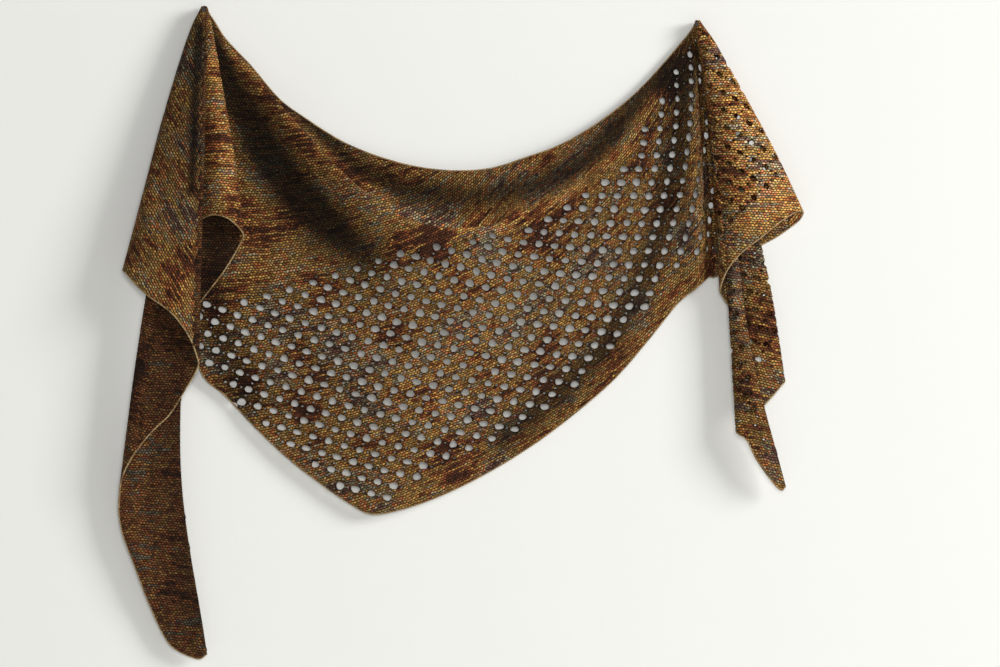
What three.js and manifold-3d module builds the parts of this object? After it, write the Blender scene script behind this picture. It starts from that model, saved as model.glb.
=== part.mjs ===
import * as THREE from 'three';
import Module from 'manifold-3d';

// An asymmetric triangular knitted shawl hung on two wall pins, in millimetres.
// X runs to the right along the wall, Y into the wall, Z up. The wall is the plane Y = 0.
// The origin is the foot of the left pin. "out" is a distance from the wall towards the room.

// Sizes of the cloth
const CLOTH_THICKNESS = 1.6;
const SEAM_GAP = 0.3;
const TOP_ABOVE_PIN = 4;

// Sizes of the wall pins
const PIN_RADIUS = 1;
const PIN_HEAD_RADIUS = 2.2;
const PIN_HEAD_THICKNESS = 1;
const PIN_CLEARANCE = 0.3;
const PIN_LEFT = { x: 0, z: 0, length: 22.5 };
const PIN_RIGHT = { x: 542.3, z: -15.4, length: 19.5 };

// How the sections are divided
const WIDE_STEP = 30;
const DIVISIONS_DOWN = [3, 3, 4, 4, 3];
const FAN_SHARES = [0, 0.06, 0.16, 0.44, 0.72, 1];
const PIN_SIDES = 12;

// The hanging middle of the shawl, a row for each section from the selvedge down to the hem.
// The cloth drops from the selvedge into a trough, rises over a crest and falls to the hem.
// columns: selvedge x, z, out; trough x, z, out; crest x, z, out; upper belly out; lower belly out; hem x, z, out
const PANEL_ROWS = [
  [-2, 4.5, 4, -2, -4.5, 4.2, -3, -15.5, 4.8, 8, 9.5, -18.5, -361, 11],
  [5.5, -2, 4.2, 5, -11, 5, 4.5, -21, 6.4, 11, 12.5, -12, -377.5, 10.5],
  [20, -27.5, 4.5, 18.5, -36, 7, 17.5, -34, 10, 12, 14, -1, -403.5, 10],
  [50.5, -60.5, 6, 49.5, -71, 12, 48.5, -61.5, 20, 15, 18, 22, -423.5, 10],
  [82.5, -98, 7, 80.5, -119, 15, 78, -99, 29, 18, 24, 57, -460, 11],
  [109, -117.5, 8, 106.5, -145, 17, 104.5, -128.5, 35, 22, 29, 87, -488.5, 12],
  [157.5, -147.5, 10, 152, -193.5, 19, 146.5, -174, 41, 30, 34, 127.5, -520.5, 13],
  [207, -166, 12, 196, -226.5, 20, 186, -208, 44, 38, 37, 163, -544.5, 14],
  [243, -174, 13, 231, -248.5, 21, 221, -230, 45, 43, 38, 185, -554.5, 14],
  [279.5, -177, 14, 270.5, -255, 22, 260.5, -240, 44, 47, 38, 218, -549, 14],
  [317, -174, 14, 307, -246.5, 22, 301.5, -240, 40, 48, 37, 259.5, -534.5, 13],
  [352, -163, 14, 343, -215.5, 24, 339, -235.5, 36, 47, 36, 307, -511.5, 13],
  [394, -147.5, 13, 387, -191.5, 23, 383, -215.5, 33, 45, 35, 358.5, -480.5, 12],
  [436.5, -122, 11, 430, -157.5, 20, 427, -181.5, 29, 42, 33, 408, -443.5, 12],
  [475, -91.5, 9, 469.5, -110, 16, 467.5, -134, 24, 38, 31, 454.5, -402.5, 12],
  [502.5, -62.5, 7, 500.5, -75, 11, 498.5, -94.5, 17, 26, 24, 493, -357.5, 12],
  [521.5, -40.5, 6, 521.5, -48.5, 8, 521.5, -65, 12, 25, 27, 522.5, -321, 13],
  [532.5, -26.5, 5, 533.5, -33, 6.5, 535.5, -46, 10, 30, 33, 541, -306, 18],
  [537.5, -18.5, 4.3, 538.5, -29, 5.4, 541, -50, 9.5, 24, 26, 550, -298, 15],
  [539.5, -14.5, 4, 540.5, -30, 4.4, 542.5, -56, 6, 10, 11, 556.5, -293, 8.5],
];

// The gathers around each pin, a row for each ray from the pin down to the hem.
// columns: top x from the pin, top out, hem x, hem z, hem out, sideways sway high up, sway low down, swell out
const LEFT_TAIL_TIP_ROWS = [
  [3.2, 13.4, 3, -708.5, 15, 0, -28.5, 18],
  [2.7, 13.4, -5.5, -714, 15, 0, -26.5, 18],
  [2.1, 13.4, -22, -708.5, 15, 0, -22, 18],
  [1.6, 13.4, -36.5, -699.5, 15, 0, -18.5, 18],
  [1.1, 13.4, -48.5, -680, 16, 0, -15, 18],
  [0.6, 13.4, -62.5, -648, 17, 0, -10.5, 16],
  [0, 13.4, -76, -611.5, 19, 0, -9, 14],
  [-0.6, 13.4, -89, -576.5, 21, 0, -5.5, 12],
  [-1.4, 13.4, -93.5, -550, 23, -1, -4.5, 11],
  [-2.2, 13.6, -92.5, -534.5, 26, -2, -4.5, 10.5],
  [-3, 14.9, -91, -520.5, 29.5, -2.5, -4.5, 11],
  [-2.3, 16.2, -86, -506, 33.5, -2, -3.5, 11.5],
];
const LEFT_TAIL_MIDDLE_ROWS = [
  [-1.4, 16.4, -72.5, -483, 36.5, 0, -1, 12],
  [-0.6, 16.4, -54, -461, 38.5, 0, 0, 10.5],
  [0.4, 16.4, -37.5, -445.5, 40, 0, 0, 9],
  [1.6, 16.4, -20, -418, 42, 0, 0, 7],
  [3, 16.4, -7.5, -397, 43.5, 0, 0, 5],
  [4.2, 17.8, -4.5, -388.5, 47, 0, 0, 4],
  [3.2, 19, -7, -378.5, 50.5, 0, 0, 3],
];
const LEFT_FLAP_ROWS = [
  [2, 19.4, -11, -366.5, 53, 0, 0, 3],
  [1, 19.4, -20, -350, 55, 0, 0, 3],
  [0, 19.4, -35, -332, 55, 0, 0, 3],
  [-1, 19.4, -60.5, -313.5, 52, -1, 0, 3],
  [-2, 19.4, -77, -298, 47, -3, 0, 3],
  [-4, 18.2, -84.5, -289.5, 42, -4, 0, 3],
  [-4.9, 15, -88, -286, 35, -4.5, 0, 3],
  [-4, 11.6, -86, -284.5, 28.5, -4, 0, 3],
];
const LEFT_PLEAT_FRONT_ROWS = [
  [-2, 10.2, -79, -280.5, 25, -3, 0, 3],
  [-1, 10.2, -57, -268.5, 24, -1, 0, 3],
  [-0.3, 10.2, -29.5, -251, 24.5, 0, 0, 2],
  [0.3, 10.2, -11, -236.5, 26, 0, 0, 2],
  [0.9, 10.2, 0, -229, 31, 0, 0, 1],
  [1.6, 10.2, 12, -225.5, 40, 0, 2, 1],
  [2.4, 10.2, 26.5, -229, 43, 0, 3, 1],
  [3.4, 10.1, 39.5, -240, 38.5, 0, 3, 1],
  [4.8, 8.6, 44, -248.5, 33.5, 0, 3, 1.5],
];
const LEFT_PLEAT_BACK_ROWS = [
  [3.2, 7, 39.5, -258.5, 29, 0, 3, 2],
  [2, 7, 23, -286, 27, 0, 2, 2],
  [0.6, 7, 4.5, -310, 24, 0, 0, 3],
  [-0.8, 7, -7.5, -326.5, 22, 0, 0, 3],
  [-2, 7.2, -18.5, -351, 19, 0, 0, 3],
  [-3.6, 5.8, -22.5, -361, 15.5, 0, 0, 3],
];
const RIGHT_BACK_ROWS = [
  [-0.8, 4.2, 563, -293.5, 8, 1, 0, 0],
  [0.2, 4.2, 578.5, -284, 7, 1, 1, 0],
  [1.1, 4.2, 596, -269.5, 6.5, 1, 1, 0],
  [2, 4.2, 614, -258, 6.5, 1, 1, 0],
  [2.9, 4.2, 631.5, -248.5, 7.5, 1, 2, 0],
];
const RIGHT_FLAP_ROWS = [
  [3.7, 4.4, 645.5, -238.5, 9.5, 1, 2, 0],
  [5.4, 5.8, 655.5, -230, 13, 1, 2, 1],
  [6.4, 10, 659, -222, 17.5, 1, 3, 1],
  [5.4, 14.2, 654.5, -221, 22, 1, 2, 1],
  [3.4, 16, 639, -229, 29, 1, 1, 2],
  [2.3, 16, 623.5, -241, 33, 1, 0, 2],
  [1.3, 16, 608.5, -253, 36, 1, 0, 2],
  [0.4, 16, 594, -264, 37, 2.2, 0.4, 2],
  [-0.5, 16, 582, -276, 36, 3.2, 1.2, 2],
];
const RIGHT_TAIL_BACK_ROWS = [
  [-1.4, 16, 574, -288, 34, 4, 2, 2],
  [-2.2, 14.6, 569, -300.5, 30.5, 4, 2, 2],
  [-2.8, 11.4, 567.5, -308, 23.5, 4, 2, 1],
  [-2.2, 8.2, 571, -315.5, 17, 4, 1, 0],
  [-0.8, 7.2, 582, -332, 13.5, 3, 0, 0],
  [0.5, 7.2, 598.5, -357.5, 12, 2, 0, 0],
  [1.6, 7.2, 619.5, -387, 11.5, 1, 3, 0],
  [2.9, 7.2, 633.5, -402.5, 12.5, 1, 6, 0],
  [4.3, 8.6, 639, -408, 15.5, 1, 8, 1],
  [2.9, 10, 634.5, -413.5, 18.5, 1, 7, 2],
  [2.2, 10.1, 626, -423.5, 20, 1.5, 3.5, 2],
  [1.6, 10.1, 612.5, -438, 21.5, 2.5, 1.5, 2],
];
const RIGHT_TAIL_FRONT_ROWS = [
  [1, 10.1, 597.5, -451, 23.5, 4, 2, 1.5],
  [0.4, 10.6, 588, -458.5, 25.5, 5, 3, 2],
  [-0.2, 11.7, 585, -463, 28, 5, 3, 3],
  [0.5, 12.8, 588, -466.5, 31, 5, 3, 4],
  [1.4, 13, 596, -472, 33, 5, 2.4, 5],
  [2.2, 13, 605, -490, 32, 5, 0, 5],
  [2.8, 13, 614, -504, 30, 5, -4, 5],
  [3.4, 13, 634.5, -528, 24, 5, -12.5, 7],
  [4, 13, 639.5, -523.5, 22, 5, -13, 7],
];

// A point on the cloth's middle surface
function clothPoint(x, z, out) {
  return new THREE.Vector3(x, -out, z);
}

// The six guide points of a section of the hanging middle
function panelSection(row) {
  const [sx, sz, so, tx, tz, to, cx, cz, co, upper, lower, hx, hz, ho] = row;
  const crest = clothPoint(cx, cz, co);
  const hem = clothPoint(hx, hz, ho);
  const upperBelly = crest.clone().lerp(hem, 1 / 3);
  const lowerBelly = crest.clone().lerp(hem, 2 / 3);
  upperBelly.y = -upper;
  lowerBelly.y = -lower;
  return [clothPoint(sx, sz, so), clothPoint(tx, tz, to), crest, upperBelly, lowerBelly, hem];
}

// The six guide points of a ray in the gather around a pin
function fanSection(row, pin) {
  const [topX, topOut, hemX, hemZ, hemOut, swayHigh, swayLow, swell] = row;
  const top = clothPoint(pin.x + topX, pin.z + TOP_ABOVE_PIN, topOut);
  const hem = clothPoint(hemX, hemZ, hemOut);
  return FAN_SHARES.map((share) => {
    const point = top.clone().lerp(hem, share);
    point.x += 6.75 * share * (1 - share) * ((1 - share) * swayHigh + share * swayLow);
    point.y -= 4 * share * (1 - share) * swell;
    return point;
  });
}

// The slope of a smooth curve at one of its guide points
function slopeAt(points, knots, i) {
  const last = points.length - 1;
  if (i === 0) {
    return points[1].clone().sub(points[0]).divideScalar(knots[1] - knots[0]);
  }
  if (i === last) {
    return points[last].clone().sub(points[last - 1]).divideScalar(knots[last] - knots[last - 1]);
  }
  const before = knots[i] - knots[i - 1];
  const after = knots[i + 1] - knots[i];
  const rise = points[i].clone().sub(points[i - 1]).multiplyScalar(after / before);
  const fall = points[i + 1].clone().sub(points[i]).multiplyScalar(before / after);
  return rise.add(fall).divideScalar(before + after);
}

// A smooth curve through guide points, with so many divisions in each span
function smoothCurve(points, knots, divisions) {
  const result = [];
  for (let i = 0; i < points.length - 1; i += 1) {
    const width = knots[i + 1] - knots[i];
    const from = slopeAt(points, knots, i).multiplyScalar(width);
    const to = slopeAt(points, knots, i + 1).multiplyScalar(width);
    for (let k = 0; k < divisions[i]; k += 1) {
      const t = k / divisions[i];
      const point = points[i].clone().multiplyScalar((1 + 2 * t) * (1 - t) * (1 - t));
      point.addScaledVector(points[i + 1], t * t * (3 - 2 * t));
      point.addScaledVector(from, t * (1 - t) * (1 - t));
      point.addScaledVector(to, t * t * (t - 1));
      result.push(point);
    }
  }
  result.push(points[points.length - 1].clone());
  return result;
}

// Knots that grow with the square root of the distance, which keeps tight folds round
function knotsOf(distances) {
  const knots = [0];
  for (const distance of distances) {
    knots.push(knots[knots.length - 1] + Math.sqrt(Math.max(distance, 0.5)));
  }
  return knots;
}

// The stretches of cloth in the order in which they follow each other from tail to tail
const STRETCHES = [
  { name: 'left_tail_tip', colour: 0x4a3220, rows: LEFT_TAIL_TIP_ROWS, pin: PIN_LEFT },
  { name: 'left_tail_middle', colour: 0x54402a, rows: LEFT_TAIL_MIDDLE_ROWS, pin: PIN_LEFT },
  { name: 'left_flap', colour: 0x665436, rows: LEFT_FLAP_ROWS, pin: PIN_LEFT },
  { name: 'left_pleat_front', colour: 0x5e4828, rows: LEFT_PLEAT_FRONT_ROWS, pin: PIN_LEFT },
  { name: 'left_pleat_back', colour: 0x3c2c1c, rows: LEFT_PLEAT_BACK_ROWS, pin: PIN_LEFT },
  { name: 'hanging_panel', colour: 0x66502c, rows: PANEL_ROWS, pin: null },
  { name: 'right_back_panel', colour: 0x3c2e1c, rows: RIGHT_BACK_ROWS, pin: PIN_RIGHT },
  { name: 'right_flap', colour: 0x6a5630, rows: RIGHT_FLAP_ROWS, pin: PIN_RIGHT },
  { name: 'right_tail_back', colour: 0x4c3a24, rows: RIGHT_TAIL_BACK_ROWS, pin: PIN_RIGHT },
  { name: 'right_tail_front', colour: 0x463424, rows: RIGHT_TAIL_FRONT_ROWS, pin: PIN_RIGHT },
];

// The whole cloth as one grid of points, column by column from tail to tail
const sections = [];
const firstSection = [];
for (const stretch of STRETCHES) {
  firstSection.push(sections.length);
  for (const row of stretch.rows) {
    sections.push(stretch.pin ? fanSection(row, stretch.pin) : panelSection(row));
  }
}

const rails = sections.map((guides) => {
  const distances = guides.slice(1).map((point, i) => point.distanceTo(guides[i]));
  return smoothCurve(guides, knotsOf(distances), DIVISIONS_DOWN);
});
const rowCount = rails[0].length;

const hemSteps = [];
const meanSteps = [];
for (let i = 0; i < rails.length - 1; i += 1) {
  const steps = rails[i].map((point, j) => point.distanceTo(rails[i + 1][j]));
  hemSteps.push(steps[rowCount - 1]);
  meanSteps.push(steps.reduce((sum, step) => sum + step, 0) / rowCount);
}
const divisionsAcross = hemSteps.map((step) => (step > WIDE_STEP ? 3 : 2));
const acrossKnots = knotsOf(meanSteps);

const grid = [];
for (let j = 0; j < rowCount; j += 1) {
  const line = smoothCurve(rails.map((rail) => rail[j]), acrossKnots, divisionsAcross);
  line.forEach((point, i) => {
    grid[i] = grid[i] || [];
    grid[i][j] = point;
  });
}

const columnOfSection = [0];
for (const count of divisionsAcross) {
  columnOfSection.push(columnOfSection[columnOfSection.length - 1] + count);
}

// The direction across the cloth from one column to the next
function across(i, j) {
  const before = grid[Math.max(i - 1, 0)][j];
  const after = grid[Math.min(i + 1, grid.length - 1)][j];
  return after.clone().sub(before);
}

// The direction down the cloth
function down(i, j) {
  const above = grid[i][Math.max(j - 1, 0)];
  const below = grid[i][Math.min(j + 1, rowCount - 1)];
  return below.clone().sub(above);
}

function faceNormal(i, j) {
  return across(i, j).cross(down(i, j)).normalize();
}

// A closed wall between two columns of the grid, half its thickness on each side of the middle surface
function wallGeometry(start, end) {
  const columns = end - start + 1;
  const positions = [];
  for (const side of [1, -1]) {
    for (let i = start; i <= end; i += 1) {
      for (let j = 0; j < rowCount; j += 1) {
        const point = grid[i][j].clone();
        point.addScaledVector(faceNormal(i, j), side * CLOTH_THICKNESS / 2);
        const trimStart = i === start && start > 0;
        const trimEnd = i === end && end < grid.length - 1;
        if (trimStart || trimEnd) {
          point.addScaledVector(across(i, j).normalize(), (trimStart ? 1 : -1) * SEAM_GAP / 2);
        }
        positions.push(point.x, point.y, point.z);
      }
    }
  }
  const indices = [];
  const at = (side, i, j) => (side * columns + i) * rowCount + j;
  const quad = (a, b, c, d) => indices.push(a, b, c, a, c, d);
  for (let i = 0; i < columns - 1; i += 1) {
    for (let j = 0; j < rowCount - 1; j += 1) {
      quad(at(0, i, j), at(0, i + 1, j), at(0, i + 1, j + 1), at(0, i, j + 1));
      quad(at(1, i, j), at(1, i, j + 1), at(1, i + 1, j + 1), at(1, i + 1, j));
    }
    const last = rowCount - 1;
    quad(at(0, i, 0), at(1, i, 0), at(1, i + 1, 0), at(0, i + 1, 0));
    quad(at(0, i, last), at(0, i + 1, last), at(1, i + 1, last), at(1, i, last));
  }
  for (let j = 0; j < rowCount - 1; j += 1) {
    const last = columns - 1;
    quad(at(0, 0, j), at(0, 0, j + 1), at(1, 0, j + 1), at(1, 0, j));
    quad(at(0, last, j), at(1, last, j), at(1, last, j + 1), at(0, last, j + 1));
  }
  const geometry = new THREE.BufferGeometry();
  geometry.setAttribute('position', new THREE.Float32BufferAttribute(positions, 3));
  geometry.setIndex(indices);
  return geometry;
}

// A lathe solid around the line that runs straight out of the wall at a pin
function latheAtPin(pin, profile) {
  const outline = profile.map(([radius, out]) => new THREE.Vector2(radius, out));
  const geometry = new THREE.LatheGeometry(outline, PIN_SIDES);
  geometry.rotateX(Math.PI);
  geometry.translate(pin.x, 0, pin.z);
  return geometry;
}

// Joining and cutting of closed solids
const wasm = await Module();
wasm.setup();

function toManifold(geometry) {
  const position = geometry.getAttribute('position');
  const index = geometry.getIndex();
  const mesh = new wasm.Mesh({
    numProp: 3,
    vertProperties: new Float32Array(position.array),
    triVerts: new Uint32Array(index.array),
  });
  mesh.merge();
  return new wasm.Manifold(mesh);
}

function toGeometry(solid) {
  const mesh = solid.getMesh();
  const geometry = new THREE.BufferGeometry();
  geometry.setAttribute('position', new THREE.Float32BufferAttribute(mesh.vertProperties, 3));
  geometry.setIndex(new THREE.Uint32BufferAttribute(mesh.triVerts, 1));
  geometry.computeVertexNormals();
  return geometry;
}

function pinProfile(pin) {
  const headStart = pin.length - PIN_HEAD_THICKNESS;
  return [[0, 0], [PIN_RADIUS, 0], [PIN_RADIUS, headStart], [PIN_HEAD_RADIUS, headStart],
    [PIN_HEAD_RADIUS, pin.length], [0, pin.length]];
}

function pinHole(pin) {
  const radius = PIN_RADIUS + PIN_CLEARANCE;
  return toManifold(latheAtPin(pin, [[0, -5], [radius, -5], [radius, pin.length], [0, pin.length]]));
}

const pinHoles = [PIN_LEFT, PIN_RIGHT].map(pinHole);

// The finished group
const group = new THREE.Group();

STRETCHES.forEach((stretch, n) => {
  const start = columnOfSection[firstSection[n]];
  const nextSection = n + 1 < STRETCHES.length ? firstSection[n + 1] : sections.length - 1;
  let cloth = toManifold(wallGeometry(start, columnOfSection[nextSection]));
  for (const hole of pinHoles) {
    cloth = cloth.subtract(hole);
  }
  const material = new THREE.MeshStandardMaterial({ color: stretch.colour, roughness: 0.92, metalness: 0 });
  const mesh = new THREE.Mesh(toGeometry(cloth), material);
  mesh.name = stretch.name;
  group.add(mesh);
});

for (const [name, pin] of [['left_wall_pin', PIN_LEFT], ['right_wall_pin', PIN_RIGHT]]) {
  const material = new THREE.MeshStandardMaterial({ color: 0x3a3632, roughness: 0.4, metalness: 0.9 });
  const mesh = new THREE.Mesh(toGeometry(toManifold(latheAtPin(pin, pinProfile(pin)))), material);
  mesh.name = name;
  group.add(mesh);
}

export default group;
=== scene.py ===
"""The asymmetrical knitted shawl on its two wall pins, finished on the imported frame.

The middle surface of the cloth comes from the same sections as its solids. It is laid flat, knitted
there as a net of faces along the rows, with the eyelets cut out, and put back on the hung form.
"""
import logging
import math
import random
from dataclasses import dataclass, field
from enum import Enum

import bmesh
import bpy
import numpy as np
from mathutils import Matrix, Vector
from mathutils.bvhtree import BVHTree
from mathutils.kdtree import KDTree


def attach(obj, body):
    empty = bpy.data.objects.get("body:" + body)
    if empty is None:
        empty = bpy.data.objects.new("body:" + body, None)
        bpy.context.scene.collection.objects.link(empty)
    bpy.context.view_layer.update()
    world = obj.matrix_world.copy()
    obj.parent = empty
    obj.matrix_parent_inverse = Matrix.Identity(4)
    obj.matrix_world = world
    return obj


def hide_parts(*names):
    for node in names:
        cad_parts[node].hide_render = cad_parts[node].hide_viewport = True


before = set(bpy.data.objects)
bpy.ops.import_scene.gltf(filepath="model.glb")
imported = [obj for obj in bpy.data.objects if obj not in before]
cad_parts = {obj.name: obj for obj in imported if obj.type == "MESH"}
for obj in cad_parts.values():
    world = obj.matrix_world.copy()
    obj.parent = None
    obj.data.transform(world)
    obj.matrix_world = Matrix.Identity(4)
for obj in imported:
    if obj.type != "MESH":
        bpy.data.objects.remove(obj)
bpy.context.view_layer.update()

LOG = logging.getLogger("shawl")
MM = 0.001

# Sizes of the cloth and of the gathers, in millimetres
CLOTH_THICKNESS = 1.6
TOP_ABOVE_PIN = 4.0
FAN_SHARES = (0.0, 0.06, 0.16, 0.44, 0.72, 1.0)  # where the guide points of a ray lie on its way down
SWAY_SCALE = 6.75  # a sway on its own is in full a third of the way from its end
SWELL_SCALE = 4.0  # a swell is in full half way down
SHORTEST_STEP = 0.5
RIM_STEP = 0.5  # from point to point along the edge of the flat cloth
LEAST_OUT = 2.2  # from the wall to the middle of the cloth
DRAWN_IN = 0.5  # share by which the tops of the gathers are drawn together
DRAWN_IN_BELOW = 24.0  # how far beside and below the top of a gather that reaches
FULL_CREASE_FROM_PIN = 150.0  # the distance from a pin at which a crease has its full depth
DARKEST, BRIGHTEST = 0.92, -1.2  # shares of painted shade and painted light that the creases may add up to

# The hanging middle, a row for each section from the selvedge down to the hem, in millimetres
# columns: selvedge x, z, out; trough x, z, out; crest x, z, out; upper belly out; lower belly out;
# hem x, z, out
PANEL_ROWS = (
    (-2, 4.5, 4, -2, -4.5, 4.2, -3, -15.5, 4.8, 8, 9.5, -18.5, -361, 11),
    (5.5, -2, 4.2, 5, -11, 5, 4.5, -21, 6.4, 11, 12.5, -12, -377.5, 10.5),
    (20, -27.5, 4.5, 18.5, -36, 7, 17.5, -34, 10, 12, 14, -1, -403.5, 10),
    (50.5, -60.5, 6, 49.5, -71, 12, 48.5, -61.5, 20, 15, 18, 22, -423.5, 10),
    (82.5, -98, 7, 80.5, -119, 15, 78, -99, 29, 18, 24, 57, -460, 11),
    (109, -117.5, 8, 106.5, -145, 17, 104.5, -128.5, 35, 22, 29, 87, -488.5, 12),
    (157.5, -147.5, 10, 152, -193.5, 19, 146.5, -174, 41, 30, 34, 127.5, -520.5, 13),
    (207, -166, 12, 196, -226.5, 20, 186, -208, 44, 38, 37, 163, -544.5, 14),
    (243, -174, 13, 231, -248.5, 21, 221, -230, 45, 43, 38, 185, -554.5, 14),
    (279.5, -177, 14, 270.5, -255, 22, 260.5, -240, 44, 47, 38, 218, -549, 14),
    (317, -174, 14, 307, -246.5, 22, 301.5, -240, 40, 48, 37, 259.5, -534.5, 13),
    (352, -163, 14, 343, -215.5, 24, 339, -235.5, 36, 47, 36, 307, -511.5, 13),
    (394, -147.5, 13, 387, -191.5, 23, 383, -215.5, 33, 45, 35, 358.5, -480.5, 12),
    (436.5, -122, 11, 430, -157.5, 20, 427, -181.5, 29, 42, 33, 408, -443.5, 12),
    (475, -91.5, 9, 469.5, -110, 16, 467.5, -134, 24, 38, 31, 454.5, -402.5, 12),
    (502.5, -62.5, 7, 500.5, -75, 11, 498.5, -94.5, 17, 26, 24, 493, -357.5, 12),
    (521.5, -40.5, 6, 521.5, -48.5, 8, 521.5, -65, 12, 25, 27, 522.5, -321, 13),
    (532.5, -26.5, 5, 533.5, -33, 6.5, 535.5, -46, 10, 30, 33, 541, -306, 18),
    (537.5, -18.5, 4.3, 538.5, -29, 5.4, 541, -50, 9.5, 24, 26, 550, -298, 15),
    (539.5, -14.5, 4, 540.5, -30, 4.4, 542.5, -56, 6, 10, 11, 556.5, -293, 8.5),
)

# The gathers around each pin, a row for each ray from the pin down to the hem, in millimetres
# columns: top x from the pin, top out, hem x, hem z, hem out, sideways sway high up, sway low down, swell out
LEFT_TAIL_TIP_ROWS = (
    (3.2, 13.4, 3, -708.5, 15, 0, -28.5, 18),
    (2.7, 13.4, -5.5, -714, 15, 0, -26.5, 18),
    (2.1, 13.4, -22, -708.5, 15, 0, -22, 18),
    (1.6, 13.4, -36.5, -699.5, 15, 0, -18.5, 18),
    (1.1, 13.4, -48.5, -680, 16, 0, -15, 18),
    (0.6, 13.4, -62.5, -648, 17, 0, -10.5, 16),
    (0, 13.4, -76, -611.5, 19, 0, -9, 14),
    (-0.6, 13.4, -89, -576.5, 21, 0, -5.5, 12),
    (-1.4, 13.4, -93.5, -550, 23, -1, -4.5, 11),
    (-2.2, 13.6, -92.5, -534.5, 26, -2, -4.5, 10.5),
    (-3, 14.9, -91, -520.5, 29.5, -2.5, -4.5, 11),
    (-2.3, 16.2, -86, -506, 33.5, -2, -3.5, 11.5),
)
LEFT_TAIL_MIDDLE_ROWS = (
    (-1.4, 16.4, -72.5, -483, 36.5, 0, -1, 12),
    (-0.6, 16.4, -54, -461, 38.5, 0, 0, 10.5),
    (0.4, 16.4, -37.5, -445.5, 40, 0, 0, 9),
    (1.6, 16.4, -20, -418, 42, 0, 0, 7),
    (3, 16.4, -7.5, -397, 43.5, 0, 0, 5),
    (4.2, 17.8, -4.5, -388.5, 47, 0, 0, 4),
    (3.2, 19, -7, -378.5, 50.5, 0, 0, 3),
)
LEFT_FLAP_ROWS = (
    (2, 19.4, -11, -366.5, 53, 0, 0, 3),
    (1, 19.4, -20, -350, 55, 0, 0, 3),
    (0, 19.4, -35, -332, 55, 0, 0, 3),
    (-1, 19.4, -60.5, -313.5, 52, -1, 0, 3),
    (-2, 19.4, -77, -298, 47, -3, 0, 3),
    (-4, 18.2, -84.5, -289.5, 42, -4, 0, 3),
    (-4.9, 15, -88, -286, 35, -4.5, 0, 3),
    (-4, 11.6, -86, -284.5, 28.5, -4, 0, 3),
)
LEFT_PLEAT_FRONT_ROWS = (
    (-2, 10.2, -79, -280.5, 25, -3, 0, 3),
    (-1, 10.2, -57, -268.5, 24, -1, 0, 3),
    (-0.3, 10.2, -29.5, -251, 24.5, 0, 0, 2),
    (0.3, 10.2, -11, -236.5, 26, 0, 0, 2),
    (0.9, 10.2, 0, -229, 31, 0, 0, 1),
    (1.6, 10.2, 12, -225.5, 40, 0, 2, 1),
    (2.4, 10.2, 26.5, -229, 43, 0, 3, 1),
    (3.4, 10.1, 39.5, -240, 38.5, 0, 3, 1),
    (4.8, 8.6, 44, -248.5, 33.5, 0, 3, 1.5),
)
LEFT_PLEAT_BACK_ROWS = (
    (3.2, 7, 39.5, -258.5, 29, 0, 3, 2),
    (2, 7, 23, -286, 27, 0, 2, 2),
    (0.6, 7, 4.5, -310, 24, 0, 0, 3),
    (-0.8, 7, -7.5, -326.5, 22, 0, 0, 3),
    (-2, 7.2, -18.5, -351, 19, 0, 0, 3),
    (-3.6, 5.8, -22.5, -361, 15.5, 0, 0, 3),
)
RIGHT_BACK_ROWS = (
    (-0.8, 4.2, 563, -293.5, 8, 1, 0, 0),
    (0.2, 4.2, 578.5, -284, 7, 1, 1, 0),
    (1.1, 4.2, 596, -269.5, 6.5, 1, 1, 0),
    (2, 4.2, 614, -258, 6.5, 1, 1, 0),
    (2.9, 4.2, 631.5, -248.5, 7.5, 1, 2, 0),
)
RIGHT_FLAP_ROWS = (
    (3.7, 4.4, 645.5, -238.5, 9.5, 1, 2, 0),
    (5.4, 5.8, 655.5, -230, 13, 1, 2, 1),
    (6.4, 10, 659, -222, 17.5, 1, 3, 1),
    (5.4, 14.2, 654.5, -221, 22, 1, 2, 1),
    (3.4, 16, 639, -229, 29, 1, 1, 2),
    (2.3, 16, 623.5, -241, 33, 1, 0, 2),
    (1.3, 16, 608.5, -253, 36, 1, 0, 2),
    (0.4, 16, 594, -264, 37, 2.2, 0.4, 2),
    (-0.5, 16, 582, -276, 36, 3.2, 1.2, 2),
)
RIGHT_TAIL_BACK_ROWS = (
    (-1.4, 16, 574, -288, 34, 4, 2, 2),
    (-2.2, 14.6, 569, -300.5, 30.5, 4, 2, 2),
    (-2.8, 11.4, 567.5, -308, 23.5, 4, 2, 1),
    (-2.2, 8.2, 571, -315.5, 17, 4, 1, 0),
    (-0.8, 7.2, 582, -332, 13.5, 3, 0, 0),
    (0.5, 7.2, 598.5, -357.5, 12, 2, 0, 0),
    (1.6, 7.2, 619.5, -387, 11.5, 1, 3, 0),
    (2.9, 7.2, 633.5, -402.5, 12.5, 1, 6, 0),
    (4.3, 8.6, 639, -408, 15.5, 1, 8, 1),
    (2.9, 10, 634.5, -413.5, 18.5, 1, 7, 2),
    (2.2, 10.1, 626, -423.5, 20, 1.5, 3.5, 2),
    (1.6, 10.1, 612.5, -438, 21.5, 2.5, 1.5, 2),
)
RIGHT_TAIL_FRONT_ROWS = (
    (1, 10.1, 597.5, -451, 23.5, 4, 2, 1.5),
    (0.4, 10.6, 588, -458.5, 25.5, 5, 3, 2),
    (-0.2, 11.7, 585, -463, 28, 5, 3, 3),
    (0.5, 12.8, 588, -466.5, 31, 5, 3, 4),
    (1.4, 13, 596, -472, 33, 5, 2.4, 5),
    (2.2, 13, 605, -490, 32, 5, 0, 5),
    (2.8, 13, 614, -504, 30, 5, -4, 5),
    (3.4, 13, 634.5, -528, 24, 5, -12.5, 7),
    (4, 13, 639.5, -523.5, 22, 5, -13, 7),
)


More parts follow.
